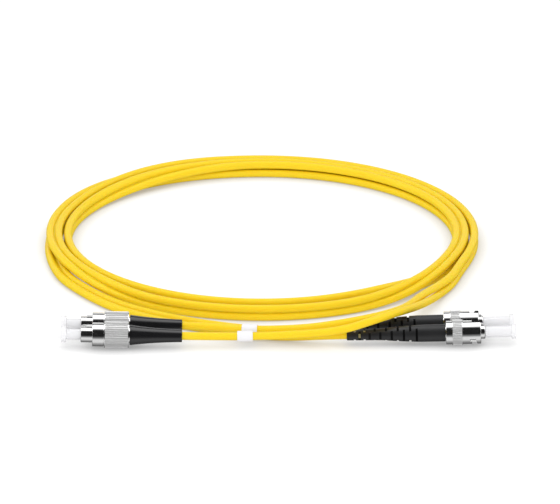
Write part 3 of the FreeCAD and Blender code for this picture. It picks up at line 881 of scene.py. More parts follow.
@dataclass
class Plug(ABC):
    """What the two kinds of plug share: boot mouth, key, spring, knurl, ferrule and cap."""

    side: Side
    finishes: Finishes
    trees: Trees
    end: End = End.THREADED
    coil_spring: Spring = Spring(0.0034, 0.01006, 0.002, 6.0, "ferrule_push")
    dust_cap: DustCap = DustCap(0.01416, 0.02571, 0.00195, 0.0031, 0.0019, 0.0021)
    band: Knurl = Knurl(0.00036, 0.00956, 0.005, 38, 0.0002, 0.0003, Edge.EASED)
    key: tuple[Point, Point] = ((0.01241, -0.0009, 0.0026), (0.01611, 0.0009, 0.00335))
    boot_len: float = 0.0196
    cord_bore_r: float = 0.00155
    crimp_bore_r: float = 0.0025
    crimp_bore_end: float = 0.0111
    mouth_r: float = 0.0032
    mouth_depth: float = 0.0008
    ferrule_r: float = 0.00125
    ferrule_back: float = 0.00961
    ferrule_tip: float = 0.02281
    ferrule_lead: float = 0.00035
    ferrule_dome: float = 0.00003
    ferrule_slope: float = 1.2

    def build(self) -> None:
        """Build every visible piece of the plug."""
        for make in (self.boot, self.barrel, self.spring, self.nut, self.ferrule, self.cap):
            make()

    @abstractmethod
    def boot(self) -> None:
        """Build the boot."""

    @abstractmethod
    def barrel(self) -> None:
        """Build the keyed barrel that holds the ferrule."""

    @abstractmethod
    def nut(self) -> None:
        """Build the nut that turns."""

    @property
    def prefix(self) -> str:
        """Return how this plug's names begin."""
        return f"{self.end.value}_{self.side.value}_"

    @property
    def ferrule_body(self) -> str:
        """Return the CAD body that the ferrule moves with."""
        return self.prefix + "ferrule_unit"

    @property
    def seat(self) -> Seat:
        """Return where this plug lies."""
        return SEATS[(self.end, self.side)]

    def keep(self, piece: Piece, slot: str, body: str, node: str, look: Optional[str] = None) -> None:
        """Dress a finished piece, put it in place and let it ride.

        Args:
            piece: the piece, still on the plug's own axis.
            slot: the record's material slot.
            body: the CAD body that it moves with.
            node: the CAD node, without the prefix, that it stands for.
            look: a variant of the slot's finish, if the piece has one.
        """
        piece.data.transform(self.seat.matrix())
        self.finishes.dress(piece, slot, look)
        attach(piece, body)
        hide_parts(self.prefix + node)
        log.info("%s: %d faces, rides on %s", piece.name, len(piece.data.polygons), body)

    def patch(self, piece: Piece, look: str, inside: Callable[[float, float], bool]) -> None:
        """Give some faces of a kept piece a second finish.

        Args:
            piece: the piece, already in place.
            look: the finish for those faces.
            inside: whether a face at a place along the axis and a radius gets it.
        """
        piece.data.materials.append(self.finishes.made[look])
        back = self.seat.matrix().inverted()
        for face in piece.data.polygons:
            spot = back @ face.center
            if inside(spot.x, math.hypot(spot.y, spot.z)):
                face.material_index = 1

    def boot_piece(self, name: str, outer: Sequence[Corner]) -> Piece:
        """Turn a boot round the cord and the crimp.

        Args:
            name: the piece's name, without the prefix.
            outer: the corners of its outside, from the front to the tip.

        Returns:
            The boot, on the plug's own axis.
        """
        tip, inner, mouth = -self.boot_len, -self.crimp_bore_end, -self.mouth_depth
        return lathe(self.prefix + name, [
            Corner(0.0, self.mouth_r), *outer, Corner(tip, self.cord_bore_r, Edge.FINE),
            Corner(inner, self.cord_bore_r), Corner(inner, self.crimp_bore_r),
            Corner(mouth, self.crimp_bore_r), Corner(mouth, self.mouth_r)])

    def keyed(self, name: str, outline: Sequence[Corner], node: str) -> None:
        """Turn the plug's nickel barrel, set its key on it and keep it.

        Args:
            name: the piece's name, without the prefix.
            outline: the barrel's corners.
            node: the CAD node, without the prefix, that it stands for.
        """
        barrel = lathe(self.prefix + "barrel", outline)
        key = box_mesh(self.prefix + "key", *self.key)
        self.keep(joined(self.prefix + name, [barrel, key]), "nickel", ROOT_BODY, node)

    def spring(self) -> None:
        """Wind the spring between its two seats."""
        own = self.coil_spring
        room = abs(own.pressed - own.fixed)
        end = own.wire_r + own.clearance
        piece = mesh_piece(self.prefix + "wound_spring", bmesh.new())
        run_tree(piece, self.trees.winding, {
            "Radius": own.mean_r, "Start": min(own.fixed, own.pressed) + end, "Length": room - 2 * end,
            "Turns": own.turns, "Wire": own.wire_r, "Sides": SPRING_SIDES,
            "Finish": self.finishes.made["spring_steel"]})
        self.keep(piece, "spring_steel", ROOT_BODY, "spring")
        self.seat.at(1.0) - self.seat.at(0.0)
        self.seat.at(own.fixed)
        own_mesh(piece)

    def knurl(self, piece: Piece) -> None:
        """Set the ridges round a nut's band.

        Args:
            piece: the nut, on the plug's own axis.
        """
        band = self.band
        run_tree(piece, self.trees.knurl, {
            "Count": band.ridges, "Radius": band.valley_r, "Start": band.back + band.rim,
            "Length": band.front - band.back - 2 * band.rim, "Depth": band.depth * band.ridge_share,
            "Finish": self.finishes.made["nickel"]})

    def keep_nut(self, piece: Piece, node: str) -> None:
        """Keep a nut that turns, with the knurled look on its band."""
        self.keep(piece, "nickel", self.prefix + "nut", node)
        self.patch(piece, "knurled_nickel", self.band.holds)

    def ferrule(self) -> None:
        """Ceramic ferrule with its lead-in and its domed end face."""
        back, tip, r, lead = self.ferrule_back, self.ferrule_tip, self.ferrule_r, self.ferrule_lead
        piece = lathe(self.prefix + "ceramic", [
            Corner(back, 0.0), Corner(tip, 0.0), Corner(tip - self.ferrule_dome, r - lead, Edge.FINE),
            Corner(tip - lead * self.ferrule_slope, r, Edge.EASED), Corner(back, r)], SMALL_LATHE_SIDES)
        self.keep(piece, "zirconia", self.ferrule_body, "ferrule")

    def cap(self) -> None:
        """Clear cap: a closed tube over the ferrule, with a flange at its end."""
        own = self.dust_cap
        bore, floor = self.ferrule_r + own.play, self.ferrule_tip + own.head_room
        dish, flange = own.end - own.dish_depth, own.end - own.flange_len
        piece = lathe(self.prefix + "clear_cap", [
            Corner(own.back, bore, Edge.FINE), Corner(floor, bore, Edge.EASED), Corner(floor, 0.0),
            Corner(dish, 0.0), Corner(dish, own.dish_r, Edge.FINE),
            Corner(own.end, own.lip_r, Edge.FINE), Corner(own.end, own.flange_r, Edge.ROUND),
            Corner(flange, own.flange_r, Edge.EASED), Corner(flange, own.tube_r, Edge.ROUND),
            Corner(own.back, own.tube_r, Edge.FINE)])
        self.keep(piece, "clear_cap", self.prefix + "cap", "dust_cap")


@dataclass
class ThreadedPlug(Plug):
    """FC plug: knurled screw nut, keyed frame, short smooth boot and a clear cap."""

    boot_front_r: float = 0.00385
    boot_rear_r: float = 0.002375
    boot_steps: int = 14
    boot_curve: float = 1.55
    boot_hollow: float = 0.12
    frame_r: float = 0.003
    frame_front: float = 0.01836
    tail_r: float = 0.0031
    bore_r: float = 0.00255
    throat_r: float = 0.0018
    throat_back: float = 0.01136
    cup_r: float = 0.0024
    cup_floor: float = 0.01256
    collar_r: float = 0.0036
    collar: Range = (0.00511, 0.00631)
    nose_r: float = 0.00445
    nose_back: float = 0.00986
    nose_groove: float = 0.00025
    nut_front: float = 0.01401
    nut_bore_r: float = 0.00383
    web_r: float = 0.00318
    web: Range = (0.00201, 0.00341)
    thread_r: float = 0.004
    thread_inset: float = 0.00015
    thread_mouth: float = 0.0001
    thread_chamfer: float = 0.0003
    thread_start: float = 0.0096
    thread_turns: float = 5.5
    thread_pitch: float = 0.00075
    thread_wire: float = 0.00026

    def boot(self) -> None:
        """Moulded boot that swells at the front and draws in along a hollow curve."""
        front, rear = self.boot_front_r, self.boot_rear_r
        outer = [Corner(0.0, front, Edge.ROUND)]
        for i in range(1, self.boot_steps):
            share = i / self.boot_steps
            swell = (1 - share) ** self.boot_curve * (1 - self.boot_hollow * math.sin(math.pi * share))
            outer.append(Corner(-self.boot_len * share, rear + (front - rear) * swell, Edge.FULL))
        outer.append(Corner(-self.boot_len, rear, Edge.TIP))
        self.keep(self.boot_piece("boot_moulding", outer), "black_boot", ROOT_BODY, "boot")

    def barrel(self) -> None:
        """Keyed frame with a cup round the ferrule."""
        tail, top = self.collar
        self.keyed("frame_shell", [
            Corner(0.0, self.bore_r), Corner(self.throat_back, self.bore_r),
            Corner(self.throat_back, self.throat_r), Corner(self.cup_floor, self.throat_r, Edge.CRISP),
            Corner(self.cup_floor, self.cup_r, Edge.FINE),
            Corner(self.frame_front, self.cup_r, Edge.SLIGHT),
            Corner(self.frame_front, self.frame_r, Edge.ROUND), Corner(top, self.frame_r),
            Corner(top, self.collar_r, Edge.FINE), Corner(tail, self.collar_r, Edge.FINE),
            Corner(tail, self.tail_r), Corner(0.0, self.tail_r)], "plug_frame")

    def nut(self) -> None:
        """Screw nut: knurled band between plain rims, groove and plain nose with its thread."""
        band, front, nose = self.band, self.nut_front, self.nose_r
        groove, base = nose - self.nose_groove, self.thread_r - self.thread_inset
        piece = lathe(self.prefix + "screw_nut", [
            Corner(band.back, self.nut_bore_r, Edge.FINE), *band.outline(), Corner(band.front, groove),
            Corner(self.nose_back, groove), Corner(self.nose_back, nose, Edge.FINE),
            Corner(front, nose, Edge.ROUND),
            Corner(front, self.thread_r - self.thread_mouth, Edge.EASED),
            Corner(front - self.thread_chamfer, base), Corner(self.web[1], base),
            Corner(self.web[1], self.web_r), Corner(self.web[0], self.web_r),
            Corner(self.web[0], self.nut_bore_r)])
        self.knurl(piece)
        run_tree(piece, self.trees.winding, {
            "Radius": base, "Start": self.thread_start, "Length": self.thread_turns * self.thread_pitch,
            "Turns": self.thread_turns, "Wire": self.thread_wire, "Sides": THREAD_SIDES,
            "Finish": self.finishes.made["nickel"]})
        self.keep_nut(piece, "coupling_nut")


@dataclass
class BayonetPlug(Plug):
    """ST plug: slotted bayonet nut, keyed body, long flexible boot and a clear cap."""

    end: End = End.BAYONET
    coil_spring: Spring = Spring(0.0082, 0.0042, 0.0031, 3.0, "nut_push")
    dust_cap: DustCap = DustCap(0.01495, 0.02635, 0.002075, 0.0028, 0.0016, 0.002)
    band: Knurl = Knurl(0.00245, 0.00645, 0.0048, 40, 0.00018, 0.00025, Edge.FINE)
    key: tuple[Point, Point] = ((0.01225, -0.0005, 0.0021), (0.01425, 0.0005, 0.0032))
    boot_len: float = 0.037
    crimp_bore_end: float = 0.0101
    ferrule_back: float = 0.007
    ferrule_tip: float = 0.0236
    boot_front_r: float = 0.003275
    boot_rear_r: float = 0.002
    plain_len: float = 0.01
    plain_draft: float = 0.00005
    stem: tuple[Range, ...] = ((-0.024, 0.17), (-0.017, 0.63))
    stem_front: float = 0.96
    slots: int = 12
    slot_first: float = 0.003
    slot_pitch: float = 0.00178
    slot_growth: float = 0.000066
    slot_width: float = 0.0008
    slot_skin: float = 0.0002
    slot_face: float = 0.00012
    open_slots: float = 3.0
    open_floor: float = 0.0013
    solid_tip: float = 0.001
    body_r: float = 0.0026
    body_front: float = 0.01485
    stem_end: float = -0.006
    fibre_bore_r: float = 0.00055
    crimp_r: float = 0.002
    rear_flange: Range = (-0.0008, 0.003)
    groove: Range = (0.0019, 0.0026)
    groove_depth: float = 0.00025
    collar: Range = (0.0082, 0.0092)
    collar_r: float = 0.00345
    nut_back: float = 0.00015
    nut_front: float = 0.01325
    nut_r: float = 0.0044
    bore_r: float = 0.0036
    web: Range = (0.00265, 0.00365)
    web_r: float = 0.00268
    bayonet_entry: float = 87.0
    bayonet_sweep: float = 55.0
    bayonet_width: float = 0.0022
    bayonet_floor: float = 0.00985
    bayonet_ramp: float = 0.0008
    bayonet_steps: int = 24
    bayonet_inset: float = 0.0002
    bayonet_past: float = 0.001

    @property
    def ferrule_body(self) -> str:
        """Return the CAD body that holds the ferrule, which doesn't float here."""
        return ROOT_BODY

    def boot(self) -> None:
        """Long boot: plain front with a low pad, then a stem cut by crossed pairs of slots."""
        front, rear = self.boot_front_r, self.boot_rear_r
        swell = front - rear
        outer = [Corner(0.0, front, Edge.EASED)]
        outer.append(Corner(-self.plain_len, front - self.plain_draft, Edge.FLOWING))
        outer += [Corner(spot, rear + share * swell, Edge.FLOWING) for spot, share in reversed(self.stem)]
        outer.append(Corner(-self.boot_len, rear, Edge.EASED))
        piece = self.boot_piece("slotted_boot", outer)
        run_tree(piece, self.trees.flex_slots, {
            "Count": self.slots, "First": self.slot_first - self.boot_len, "Pitch": self.slot_pitch,
            "Growth": self.slot_growth, "Width": self.slot_width, "Open Slots": self.open_slots,
            "Open Floor": self.open_floor, "Floor": self.cord_bore_r + self.slot_skin, "Reach": 2 * front,
            "Finish": self.finishes.made["black_boot"]})
        self.keep(piece, "black_boot", ROOT_BODY, "boot", "matte_boot")
        # painted shade on the faces down in the slots
        self.patch(piece, "boot_slot_shade", self.in_slot)

    def in_slot(self, along: float, radius: float) -> bool:
        """Return whether a place is below the skin of the slotted stem."""
        stem = self.solid_tip - self.boot_len < along < -self.plain_len
        return stem and radius < self.stem_radius(along) - self.slot_face

    def stem_radius(self, along: float) -> float:
        """Work out the boot's outer radius.

        Args:
            along: a place on its slotted stem.

        Returns:
            The radius there.
        """
        swell = self.boot_front_r - self.boot_rear_r
        rows = ((-self.boot_len, 0.0), *self.stem, (-self.plain_len, self.stem_front))
        for (here, low), (there, high) in zip(rows, rows[1:]):
            if along <= there:
                return self.boot_rear_r + swell * (low + (high - low) * (along - here) / (there - here))
        return self.boot_front_r

    def barrel(self) -> None:
        """Keyed body with its spring collar, clip groove and crimp stem."""
        r, front, stem = self.body_r, self.body_front, self.stem_end
        (low, high), (step, flange_r) = self.groove, self.rear_flange
        floor, (back, top) = r - self.groove_depth, self.collar
        self.keyed("body_shell", [
            Corner(stem, self.fibre_bore_r), Corner(self.ferrule_back, self.fibre_bore_r),
            Corner(self.ferrule_back, self.ferrule_r), Corner(front, self.ferrule_r, Edge.FINE),
            Corner(front, r, Edge.NOSE), Corner(top, r), Corner(top, self.collar_r, Edge.FINE),
            Corner(back, self.collar_r, Edge.FINE), Corner(back, r), Corner(high, r),
            Corner(high, floor), Corner(low, floor), Corner(low, r), Corner(0.0, r),
            Corner(0.0, flange_r), Corner(step, flange_r), Corner(step, self.crimp_r),
            Corner(stem, self.crimp_r)], "plug_body")

    def bayonet_cutter(self, entry: float) -> Piece:
        """Make the tool that cuts one bayonet slot.

        Args:
            entry: the slot's entry in degrees round the axis.

        Returns:
            A closed curved block: straight in, round along a ramp, then a pocket.
        """
        inner, outer = self.body_r + self.bayonet_inset, self.band.radius + self.bayonet_past
        half = math.degrees(self.bayonet_width / 2 / ((self.bore_r + self.nut_r) / 2))
        shape = bmesh.new()
        rows: list[Row] = []
        start, stop = entry + half, entry - half - self.bayonet_sweep
        for i in range(self.bayonet_steps + 1):
            angle = start + (stop - start) * i / self.bayonet_steps
            share = max(0.0, (entry - half - angle) / self.bayonet_sweep)
            back = self.bayonet_floor - self.bayonet_ramp * share
            open_here = angle > entry - half - ANGLE_PLAY
            front = self.nut_front + self.bayonet_past if open_here else back + self.bayonet_width
            spots = ((back, inner), (front, inner), (front, outer), (back, outer))
            turn = math.radians(angle)
            rows.append([shape.verts.new((x, r * math.cos(turn), r * math.sin(turn))) for x, r in spots])
        skin(shape, rows)
        return mesh_piece("bayonet_cutter", shape)

    def nut(self) -> None:
        """Bayonet nut: rear collar, knurled ring and slotted barrel."""
        band, r, bore = self.band, self.nut_r, self.bore_r
        piece = lathe(self.prefix + "bayonet_nut_shell", [
            Corner(self.nut_back, bore, Edge.FINE), Corner(self.nut_back, r, Edge.BROKEN),
            Corner(band.back, r), *band.outline(), Corner(band.front, r),
            Corner(self.nut_front, r, Edge.FULL), Corner(self.nut_front, bore, Edge.EASED),
            Corner(self.web[1], bore), Corner(self.web[1], self.web_r), Corner(self.web[0], self.web_r),
            Corner(self.web[0], bore)])
        for entry in (self.bayonet_entry, self.bayonet_entry + 180):
            cut(piece, self.bayonet_cutter(entry))
        self.knurl(piece)
        self.keep_nut(piece, "bayonet_nut")


def ease(value: float, start: float, end: float) -> float:
    """Return a share that goes smoothly from 0 at start to 1 at end."""
    share = min(1.0, max(0.0, (value - start) / (end - start)))
    return share * share * (3 - 2 * share)


@dataclass(frozen=True)
class Coil:
    """The three turns that the pair of strands makes: two layers high, in three columns.

    Angles are in degrees from the front, anticlockwise from above. Each change of column, layer
    or roll has the angles at which it starts and ends.
    """

    centre: Range = (-0.010, 0.1023)
    outer_r: float = 0.0805
    pitch: float = 0.00345
    stack: float = 0.00315
    lay: float = 0.00152
    start: float = 76.0
    end: float = 1010.0
    swap: Range = (180.0, 250.0)
    bulge: float = 0.0008
    settle: Range = (290.0, 330.0)
    climb: Range = (385.0, 425.0)
    shift: Range = (395.0, 434.0)
    tail_start: float = 985.0
    tail_soft: float = 15.0
    tail_spread: float = 0.00017
    points: int = 94

    def pair(self, angle: float) -> tuple[float, float, float]:
        """Return where the pair's middle lies and how it is rolled.

        Args:
            angle: how far round the coil it is.

        Returns:
            Its place inward of the outermost ring, its height and its roll in radians: unrolled,
            strand a lies on strand b, and after a quarter turn it lies inward of it.
        """
        first, second, third = (ease(angle - 360 * lap, *self.swap) for lap in range(3))
        settle, climb, shift = (ease(angle, *change) for change in (self.settle, self.climb, self.shift))
        duck = ease(angle - 360, *self.climb)
        roll = math.pi / 2 * (first - settle + climb + second + duck)
        column = self.pitch * ((first - settle + climb + second - duck) / 2 + shift - third)
        column += 4 * self.bulge * (second * (1 - second) - first * (1 - first))
        layer = first - settle + climb - second
        height = self.lay + self.stack / 2 * abs(math.cos(roll)) + self.pitch * layer
        past, soft = max(0.0, angle - self.tail_start), self.tail_soft
        spread = past * past / (2 * soft) if past < soft else past - soft / 2
        return column - self.tail_spread * spread, height, roll

    def point(self, side: Side, angle: float) -> Vector:
        """Work out where a strand is.

        Args:
            side: which strand.
            angle: how far round the coil.

        Returns:
            The strand's centre there.
        """
        column, height, roll = self.pair(angle)
        half = self.stack / 2 if side is Side.OUTER else -self.stack / 2
        radius = self.outer_r - column - half * math.sin(roll)
        turn = math.radians(angle)
        return Vector((self.centre[0] + radius * math.sin(turn), self.centre[1] - radius * math.cos(turn),
                       height + half * math.cos(roll)))

    def heading(self, side: Side, angle: float, step: float = 0.25) -> Vector:
        """Return the direction that a strand runs in at an angle."""
        return (self.point(side, angle + step) - self.point(side, angle - step)).normalized()

    def turns(self, side: Side) -> list[Vector]:
        """Lay out a strand's coil.

        Args:
            side: which strand.

        Returns:
            Its control points, set out a little so that the quadratic line through them, which cuts
            their corners, has the coil's own radius.
        """
        step = (self.end - self.start) / (self.points - 1)
        reach = 1 / (0.75 + 0.25 * math.cos(math.radians(step)))
        middle = Vector((*self.centre, 0.0))
        made = []
        for i in range(self.points):
            spot = self.point(side, self.start + step * i)
            flat = Vector((spot.x, spot.y, 0.0)) - middle
            made.append(middle + flat * reach + Vector((0.0, 0.0, spot.z)))
        return made


FC_LEG: dict[Side, tuple[Point, ...]] = {
    Side.OUTER: ((-0.014, 0.0001, 0.0045), (0.0043, -0.0022, 0.0059), (0.0172, -0.0053, 0.0088),
                 (0.0284, -0.0044, 0.0106), (0.0374, 0.003, 0.01), (0.0446, 0.0158, 0.0078),
                 (0.05, 0.0303, 0.0069), (0.056, 0.044, 0.0052), (0.0616, 0.0559, 0.00477)),
    Side.INNER: ((-0.014, -0.0058, 0.0042), (0.0043, -0.0074, 0.0056), (0.0198, -0.0108, 0.0084),
                 (0.0314, -0.0066, 0.0108), (0.041, 0.0022, 0.0108), (0.0482, 0.0153, 0.0081),
                 (0.053, 0.0309, 0.0045), (0.0572, 0.0454, 0.0018), (0.0618, 0.0559, 0.00162)),
}
ST_LEG: dict[Side, tuple[Point, ...]] = {
    Side.OUTER: ((-0.0768, 0.0459, 0.00152), (-0.0666, 0.0319, 0.00152), (-0.0525, 0.0203, 0.00152),
                 (-0.0362, 0.011, 0.00152), (-0.0189, 0.0044, 0.00152), (-0.0025, 0.0002, 0.00152)),
    Side.INNER: ((-0.0742, 0.0481, 0.00152), (-0.0639, 0.0349, 0.00152), (-0.0502, 0.0243, 0.00152),
                 (-0.0344, 0.0158, 0.00152), (-0.0175, 0.0096, 0.00152), (-0.002, 0.0061, 0.00152)),
}


@dataclass
class Strand:
    """One jacketed strand, from the crimp in its FC boot round the coil to the crimp in its ST boot."""

    side: Side
    coil: Coil
    finishes: Finishes
    diameter: float = 0.003
    length: float = 1.61
    fc_stem: float = 0.007
    st_stem: float = 0.006
    in_boot: float = 0.003
    out_of_boot: float = 0.007
    coil_run: float = 0.013
    run_steps: int = 10
    round_steps: int = 6
    piece: Piece = field(init=False)
    line: list[Vector] = field(init=False)

    def route(self) -> list[Vector]:
        """Lay out the strand.

        Returns:
            The control points of its one smooth line.
        """
        fc, st = SEATS[(End.THREADED, self.side)], SEATS[(End.BAYONET, self.side)]
        coil, side = self.coil, self.side
        start = coil.point(side, coil.start) - coil.heading(side, coil.start) * self.coil_run
        end = coil.point(side, coil.end) + coil.heading(side, coil.end) * self.coil_run
        return [
            fc.at(-self.fc_stem), fc.at(self.in_boot - ThreadedPlug.boot_len),
            fc.at(-ThreadedPlug.boot_len - self.out_of_boot), *(Vector(p) for p in FC_LEG[side]),
            start, *coil.turns(side), end, *(Vector(p) for p in ST_LEG[side]),
            st.at(-BayonetPlug.boot_len - self.out_of_boot), st.at(self.in_boot - BayonetPlug.boot_len),
            st.at(-self.st_stem)]

    def build(self) -> None:
        """Lay the strand as one NURBS curve with a round jacket."""
        side = self.side.value
        data = bpy.data.curves.new(f"strand_{side}", "CURVE")
        data.dimensions = "3D"
        data.resolution_u = self.run_steps
        data.use_fill_caps = True
        spline = data.splines.new("NURBS")
        route = self.route()
        spline.points.add(len(route) - 1)
        for spot, place in zip(spline.points, route):
            spot.co = (*place, 1.0)
        spline.order_u = 3
        spline.use_endpoint_u = True
        self.piece = bpy.data.objects.new(data.name, data)
        bpy.context.scene.collection.objects.link(self.piece)
        self.line = self.centreline()
        data.bevel_depth = self.diameter / 2
        data.bevel_resolution = self.round_steps
        self.finishes.dress(self.piece, "yellow_jacket")
        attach(self.piece, ROOT_BODY)
        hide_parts(*(f"strand_{side}_{part}" for part in ("fc_leg", "coil", "st_leg")),
                    f"fc_{side}_jacket_end", f"st_{side}_jacket_end")
        log.info("%s: %d control points, rides on %s", self.piece.name, len(route), ROOT_BODY)

    def centreline(self) -> list[Vector]:
        """Read the smooth line from the curve, before it has a bevel.

        Returns:
            The line's points, in order.
        """
        bpy.context.view_layer.update()
        graph = bpy.context.evaluated_depsgraph_get()
        wire = bpy.data.meshes.new_from_object(self.piece.evaluated_get(graph))
        points = [vertex.co.copy() for vertex in wire.vertices]
        bpy.data.meshes.remove(wire)
        return points

    def declare(self, extras: Sequence[Piece]) -> None:
        """Work out where the strand leaves its FC boot.

        Args:
            extras: the pieces on it; not used.
        """
        leave = SEATS[(End.THREADED, self.side)].at(-ThreadedPlug.boot_len)


@dataclass
class MarkerSleeve:
    """Short white sleeve round a strand."""

    strand: Strand
    finishes: Finishes
    at_x: float
    length: float = 0.0058
    inner_r: float = 0.00155
    outer_r: float = 0.00205

    def build(self) -> Piece:
        """Build the sleeve on the first quarter of the strand's own line.

        Returns:
            The sleeve.
        """
        line, side = self.strand.line, self.strand.side.value
        index = min(range(1, len(line) // 4), key=lambda i: abs(line[i].x - self.at_x))
        axis = (line[index + 1] - line[index - 1]).normalized()
        half = self.length / 2
        piece = lathe(f"marker_sleeve_{side}", [
            Corner(-half, self.inner_r), Corner(half, self.inner_r, Edge.FINE),
            Corner(half, self.outer_r, Edge.SLIGHT),
            Corner(-half, self.outer_r, Edge.SLIGHT)], SMALL_LATHE_SIDES)
        turn = axis.to_track_quat("X", "Z").to_matrix().to_4x4()
        piece.data.transform(Matrix.Translation(line[index]) @ turn)
        self.finishes.dress(piece, "marker")
        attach(piece, ROOT_BODY)
        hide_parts(f"strand_{side}_label")
        log.info("%s: rides on %s", piece.name, ROOT_BODY)
        return piece


@dataclass
class ZipWeb:
    """Thin web that joins the two jackets of the figure-eight cord."""

    outer: Strand
    inner: Strand
    finishes: Finishes
    thickness: float = 0.0008
    bury: float = 0.0011
    widest: float = 0.00328

    def build(self) -> Piece:
        """Build the web wherever the strands run side by side.

        Returns:
            The web.
        """
        pairs = list(zip(self.outer.line, self.inner.line))
        shape = bmesh.new()
        rows: list[Row] = []
        for i in range(1, len(pairs) - 1):
            a, b = pairs[i]
            across = b - a
            if across.length > self.widest:
                self.close(shape, rows)
                rows = []
                continue
            along = (pairs[i + 1][0] - pairs[i - 1][0]).normalized()
            over = across.normalized()
            side = along.cross(over).normalized() * (self.thickness / 2)
            top, low = a + over * self.bury, b - over * self.bury
            rows.append([shape.verts.new(v) for v in (top + side, low + side, low - side, top - side)])
        self.close(shape, rows)
        piece = mesh_piece("zip_web", shape)
        self.finishes.dress(piece, "yellow_jacket")
        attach(piece, ROOT_BODY)
        log.info("%s: rides on %s", piece.name, ROOT_BODY)
        return piece

    @staticmethod
    def close(shape: bmesh.types.BMesh, rows: Sequence[Row]) -> None:
        """Skin one stretch of the web, or drop it if it has no length.

        Args:
            shape: the web's mesh.
            rows: the stretch's rows of vertices.
        """
        if len(rows) < 2:
            bmesh.ops.delete(shape, geom=[v for row in rows for v in row], context="VERTS")
        else:
            skin(shape, rows)


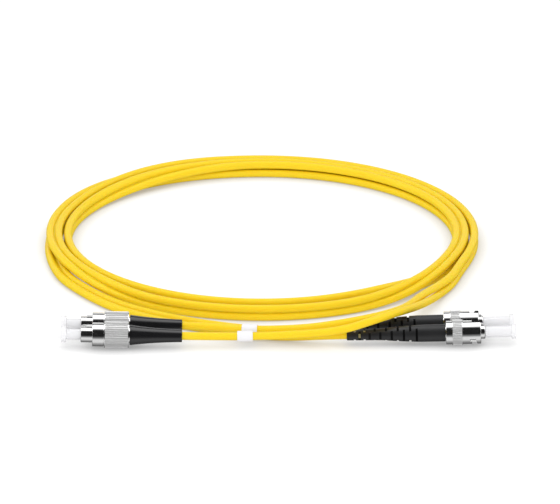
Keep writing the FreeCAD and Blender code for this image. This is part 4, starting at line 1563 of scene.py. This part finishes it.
@dataclass
class Studio:
    """Plain pale floor, soft light and the camera at the photograph's angle."""

    target: Point = (-0.0032, 0.09467, 0.0)
    elevation: float = 20.7
    scale: float = 2639.0
    lens: float = 1300.0
    sensor: float = 36.0
    frame_width: float = 560.0
    clip: Range = (0.1, 60.0)
    floor_half: float = 3.0
    floor_rough: float = 0.9
    floor_gloss: float = 0.1
    floor_grey: float = 0.42
    shade_reach: float = 0.0065
    shade_in: Range = (0.3, 0.95)
    shade_out: Range = (0.28, 0.62)
    lamp_size: float = 1.2
    lamp_energy: float = 4.2
    lamp_place: Point = (-0.15, -0.75, 0.95)
    even: float = 0.99
    softbox: float = 2.8
    mirrored: tuple[Range, ...] = (
        (-180, 0.12), (-110, 0.2), (-80, 0.5), (-58, 1.0), (-32, 1.0), (-16, 0.3), (2, 0.015), (64, 0.015),
        (76, 1.0), (86, 2.8), (122, 2.8), (129, 0.15), (142, 0.15), (151, 1.0), (180, 1.0))

    def build(self) -> None:
        """Make the camera, the floor, the lamp and the world."""
        self.camera()
        self.floor()
        self.lamp()
        self.world()
        bpy.context.scene.view_settings.view_transform = "Standard"

    def camera(self) -> None:
        """Put the camera where the photograph's was, far off with a long lens."""
        data = bpy.data.cameras.new("camera")
        data.lens = self.lens
        data.sensor_width = self.sensor
        data.clip_start, data.clip_end = self.clip
        distance = self.lens / self.sensor * self.frame_width / self.scale
        cam = bpy.data.objects.new("camera", data)
        angle = math.radians(self.elevation)
        back = Vector((0.0, -math.cos(angle), math.sin(angle)))
        cam.location = Vector(self.target) + back * distance
        cam.rotation_euler = (math.pi / 2 - angle, 0.0, 0.0)
        bpy.context.scene.collection.objects.link(cam)
        bpy.context.scene.camera = cam

    def floor(self) -> None:
        """Lay a plain white floor whose glow is dimmed close to the object, a painted contact shadow."""
        shape = bmesh.new()
        s = self.floor_half
        shape.faces.new([shape.verts.new((x, y, 0.0)) for x, y in ((-s, -s), (s, -s), (s, s), (-s, s))])
        piece = mesh_piece("floor", shape)
        shader = Shader("floor")
        near = shader.node("ShaderNodeAmbientOcclusion", Distance=self.shade_reach).outputs["AO"]
        shader.set(Roughness=self.floor_rough, Specular_IOR_Level=self.floor_gloss,
                   Base_Color=grey(self.floor_grey), Emission_Color=grey(1.0),
                   Emission_Strength=shader.ranged(near, self.shade_in, self.shade_out))
        piece.data.materials.append(shader.material)
        piece.visible_glossy = False

    def lamp(self) -> None:
        """Hang one large soft light over the object, which shiny metal doesn't mirror."""
        data = bpy.data.lights.new("overhead", "AREA")
        data.shape = "DISK"
        data.size = self.lamp_size
        data.energy = self.lamp_energy
        lamp = bpy.data.objects.new("overhead", data)
        lamp.location = self.lamp_place
        lamp.rotation_euler = (Vector(self.target) - lamp.location).to_track_quat("-Z", "Y").to_euler()
        lamp.visible_glossy = False
        bpy.context.scene.collection.objects.link(lamp)

    def world(self) -> None:
        """Light everything evenly; shiny surfaces mirror a dark front, a soft box and a pale room.

        Each stop of what they mirror has its angle in degrees from the front, up and over, and its level.
        """
        world = bpy.data.worlds.new("studio")
        world.use_nodes = True
        world.node_tree.nodes.clear()
        net = Nodes(world.node_tree)
        even = net.node("ShaderNodeBackground", Color=grey(1.0), Strength=self.even)
        place = net.node("ShaderNodeTexCoord").outputs["Generated"]
        split = net.node("ShaderNodeSeparateXYZ", Vector=place).outputs
        angle = net.math("ARCTAN2", split["Z"], net.times(split["Y"], -1.0))
        ramp = net.node("ShaderNodeValToRGB", Fac=net.ranged(angle, (-math.pi, math.pi)))
        stops = ramp.color_ramp.elements
        for degrees, _ in self.mirrored[1:-1]:
            stops.new((degrees + 180) / 360)
        for stop, (degrees, level) in zip(stops, self.mirrored):
            stop.position = (degrees + 180) / 360
            stop.color = grey(level / self.softbox)
        room = net.node("ShaderNodeBackground", Strength=net.times(ramp.outputs["Color"], self.softbox))
        mix = net.node("ShaderNodeMixShader", Fac=net.node("ShaderNodeLightPath").outputs["Is Glossy Ray"])
        net.feed(mix.inputs[1], even.outputs[0])
        net.feed(mix.inputs[2], room.outputs[0])
        net.node("ShaderNodeOutputWorld", Surface=mix.outputs[0])
        bpy.context.scene.world = world


class PatchCord:
    """The whole cord: two strands and four plugs, in the row frame."""

    SLEEVES: dict[Side, float] = {Side.OUTER: -0.0144, Side.INNER: -0.0162}
    KEPT_NODES: dict[str, str] = {
        "ferrule_holder": "nickel_silver", "buffer_tube": "buffer", "stop_ring": "nickel",
        "crimp_sleeve": "nickel", "snap_ring": "spring_steel", "clip_ring": "spring_steel",
        "washer": "spring_steel"}

    def __init__(self) -> None:
        """Make what the pieces share."""
        self.finishes = Finishes()
        self.trees = Trees()
        self.coil = Coil()

    def build(self) -> None:
        """Build every piece and dress the CAD nodes that stay."""
        strands = {side: Strand(side, self.coil, self.finishes) for side in Side}
        for strand in strands.values():
            strand.build()
        web = ZipWeb(strands[Side.OUTER], strands[Side.INNER], self.finishes).build()
        for side, at_x in self.SLEEVES.items():
            sleeve = MarkerSleeve(strands[side], self.finishes, at_x).build()
            strands[side].declare([sleeve, web] if side is Side.OUTER else [sleeve])
        for side in Side:
            ThreadedPlug(side, self.finishes, self.trees).build()
            BayonetPlug(side, self.finishes, self.trees).build()
        self.dress_nodes()

    def dress_nodes(self) -> None:
        """Give the CAD nodes inside the plugs, named END_SIDE_PART, their finishes."""
        for name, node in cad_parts.items():
            slot = self.KEPT_NODES.get(name.split("_", 2)[2])
            if slot:
                self.finishes.dress_node(node, slot)
                log.info("%s: CAD node in %s", name, slot)


def main() -> None:
    """Build the studio and the patch cord."""
    logging.basicConfig(level=logging.INFO, format="%(name)s: %(message)s")
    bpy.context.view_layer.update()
    Studio().build()
    PatchCord().build()


if __name__ == "__main__":
    main()
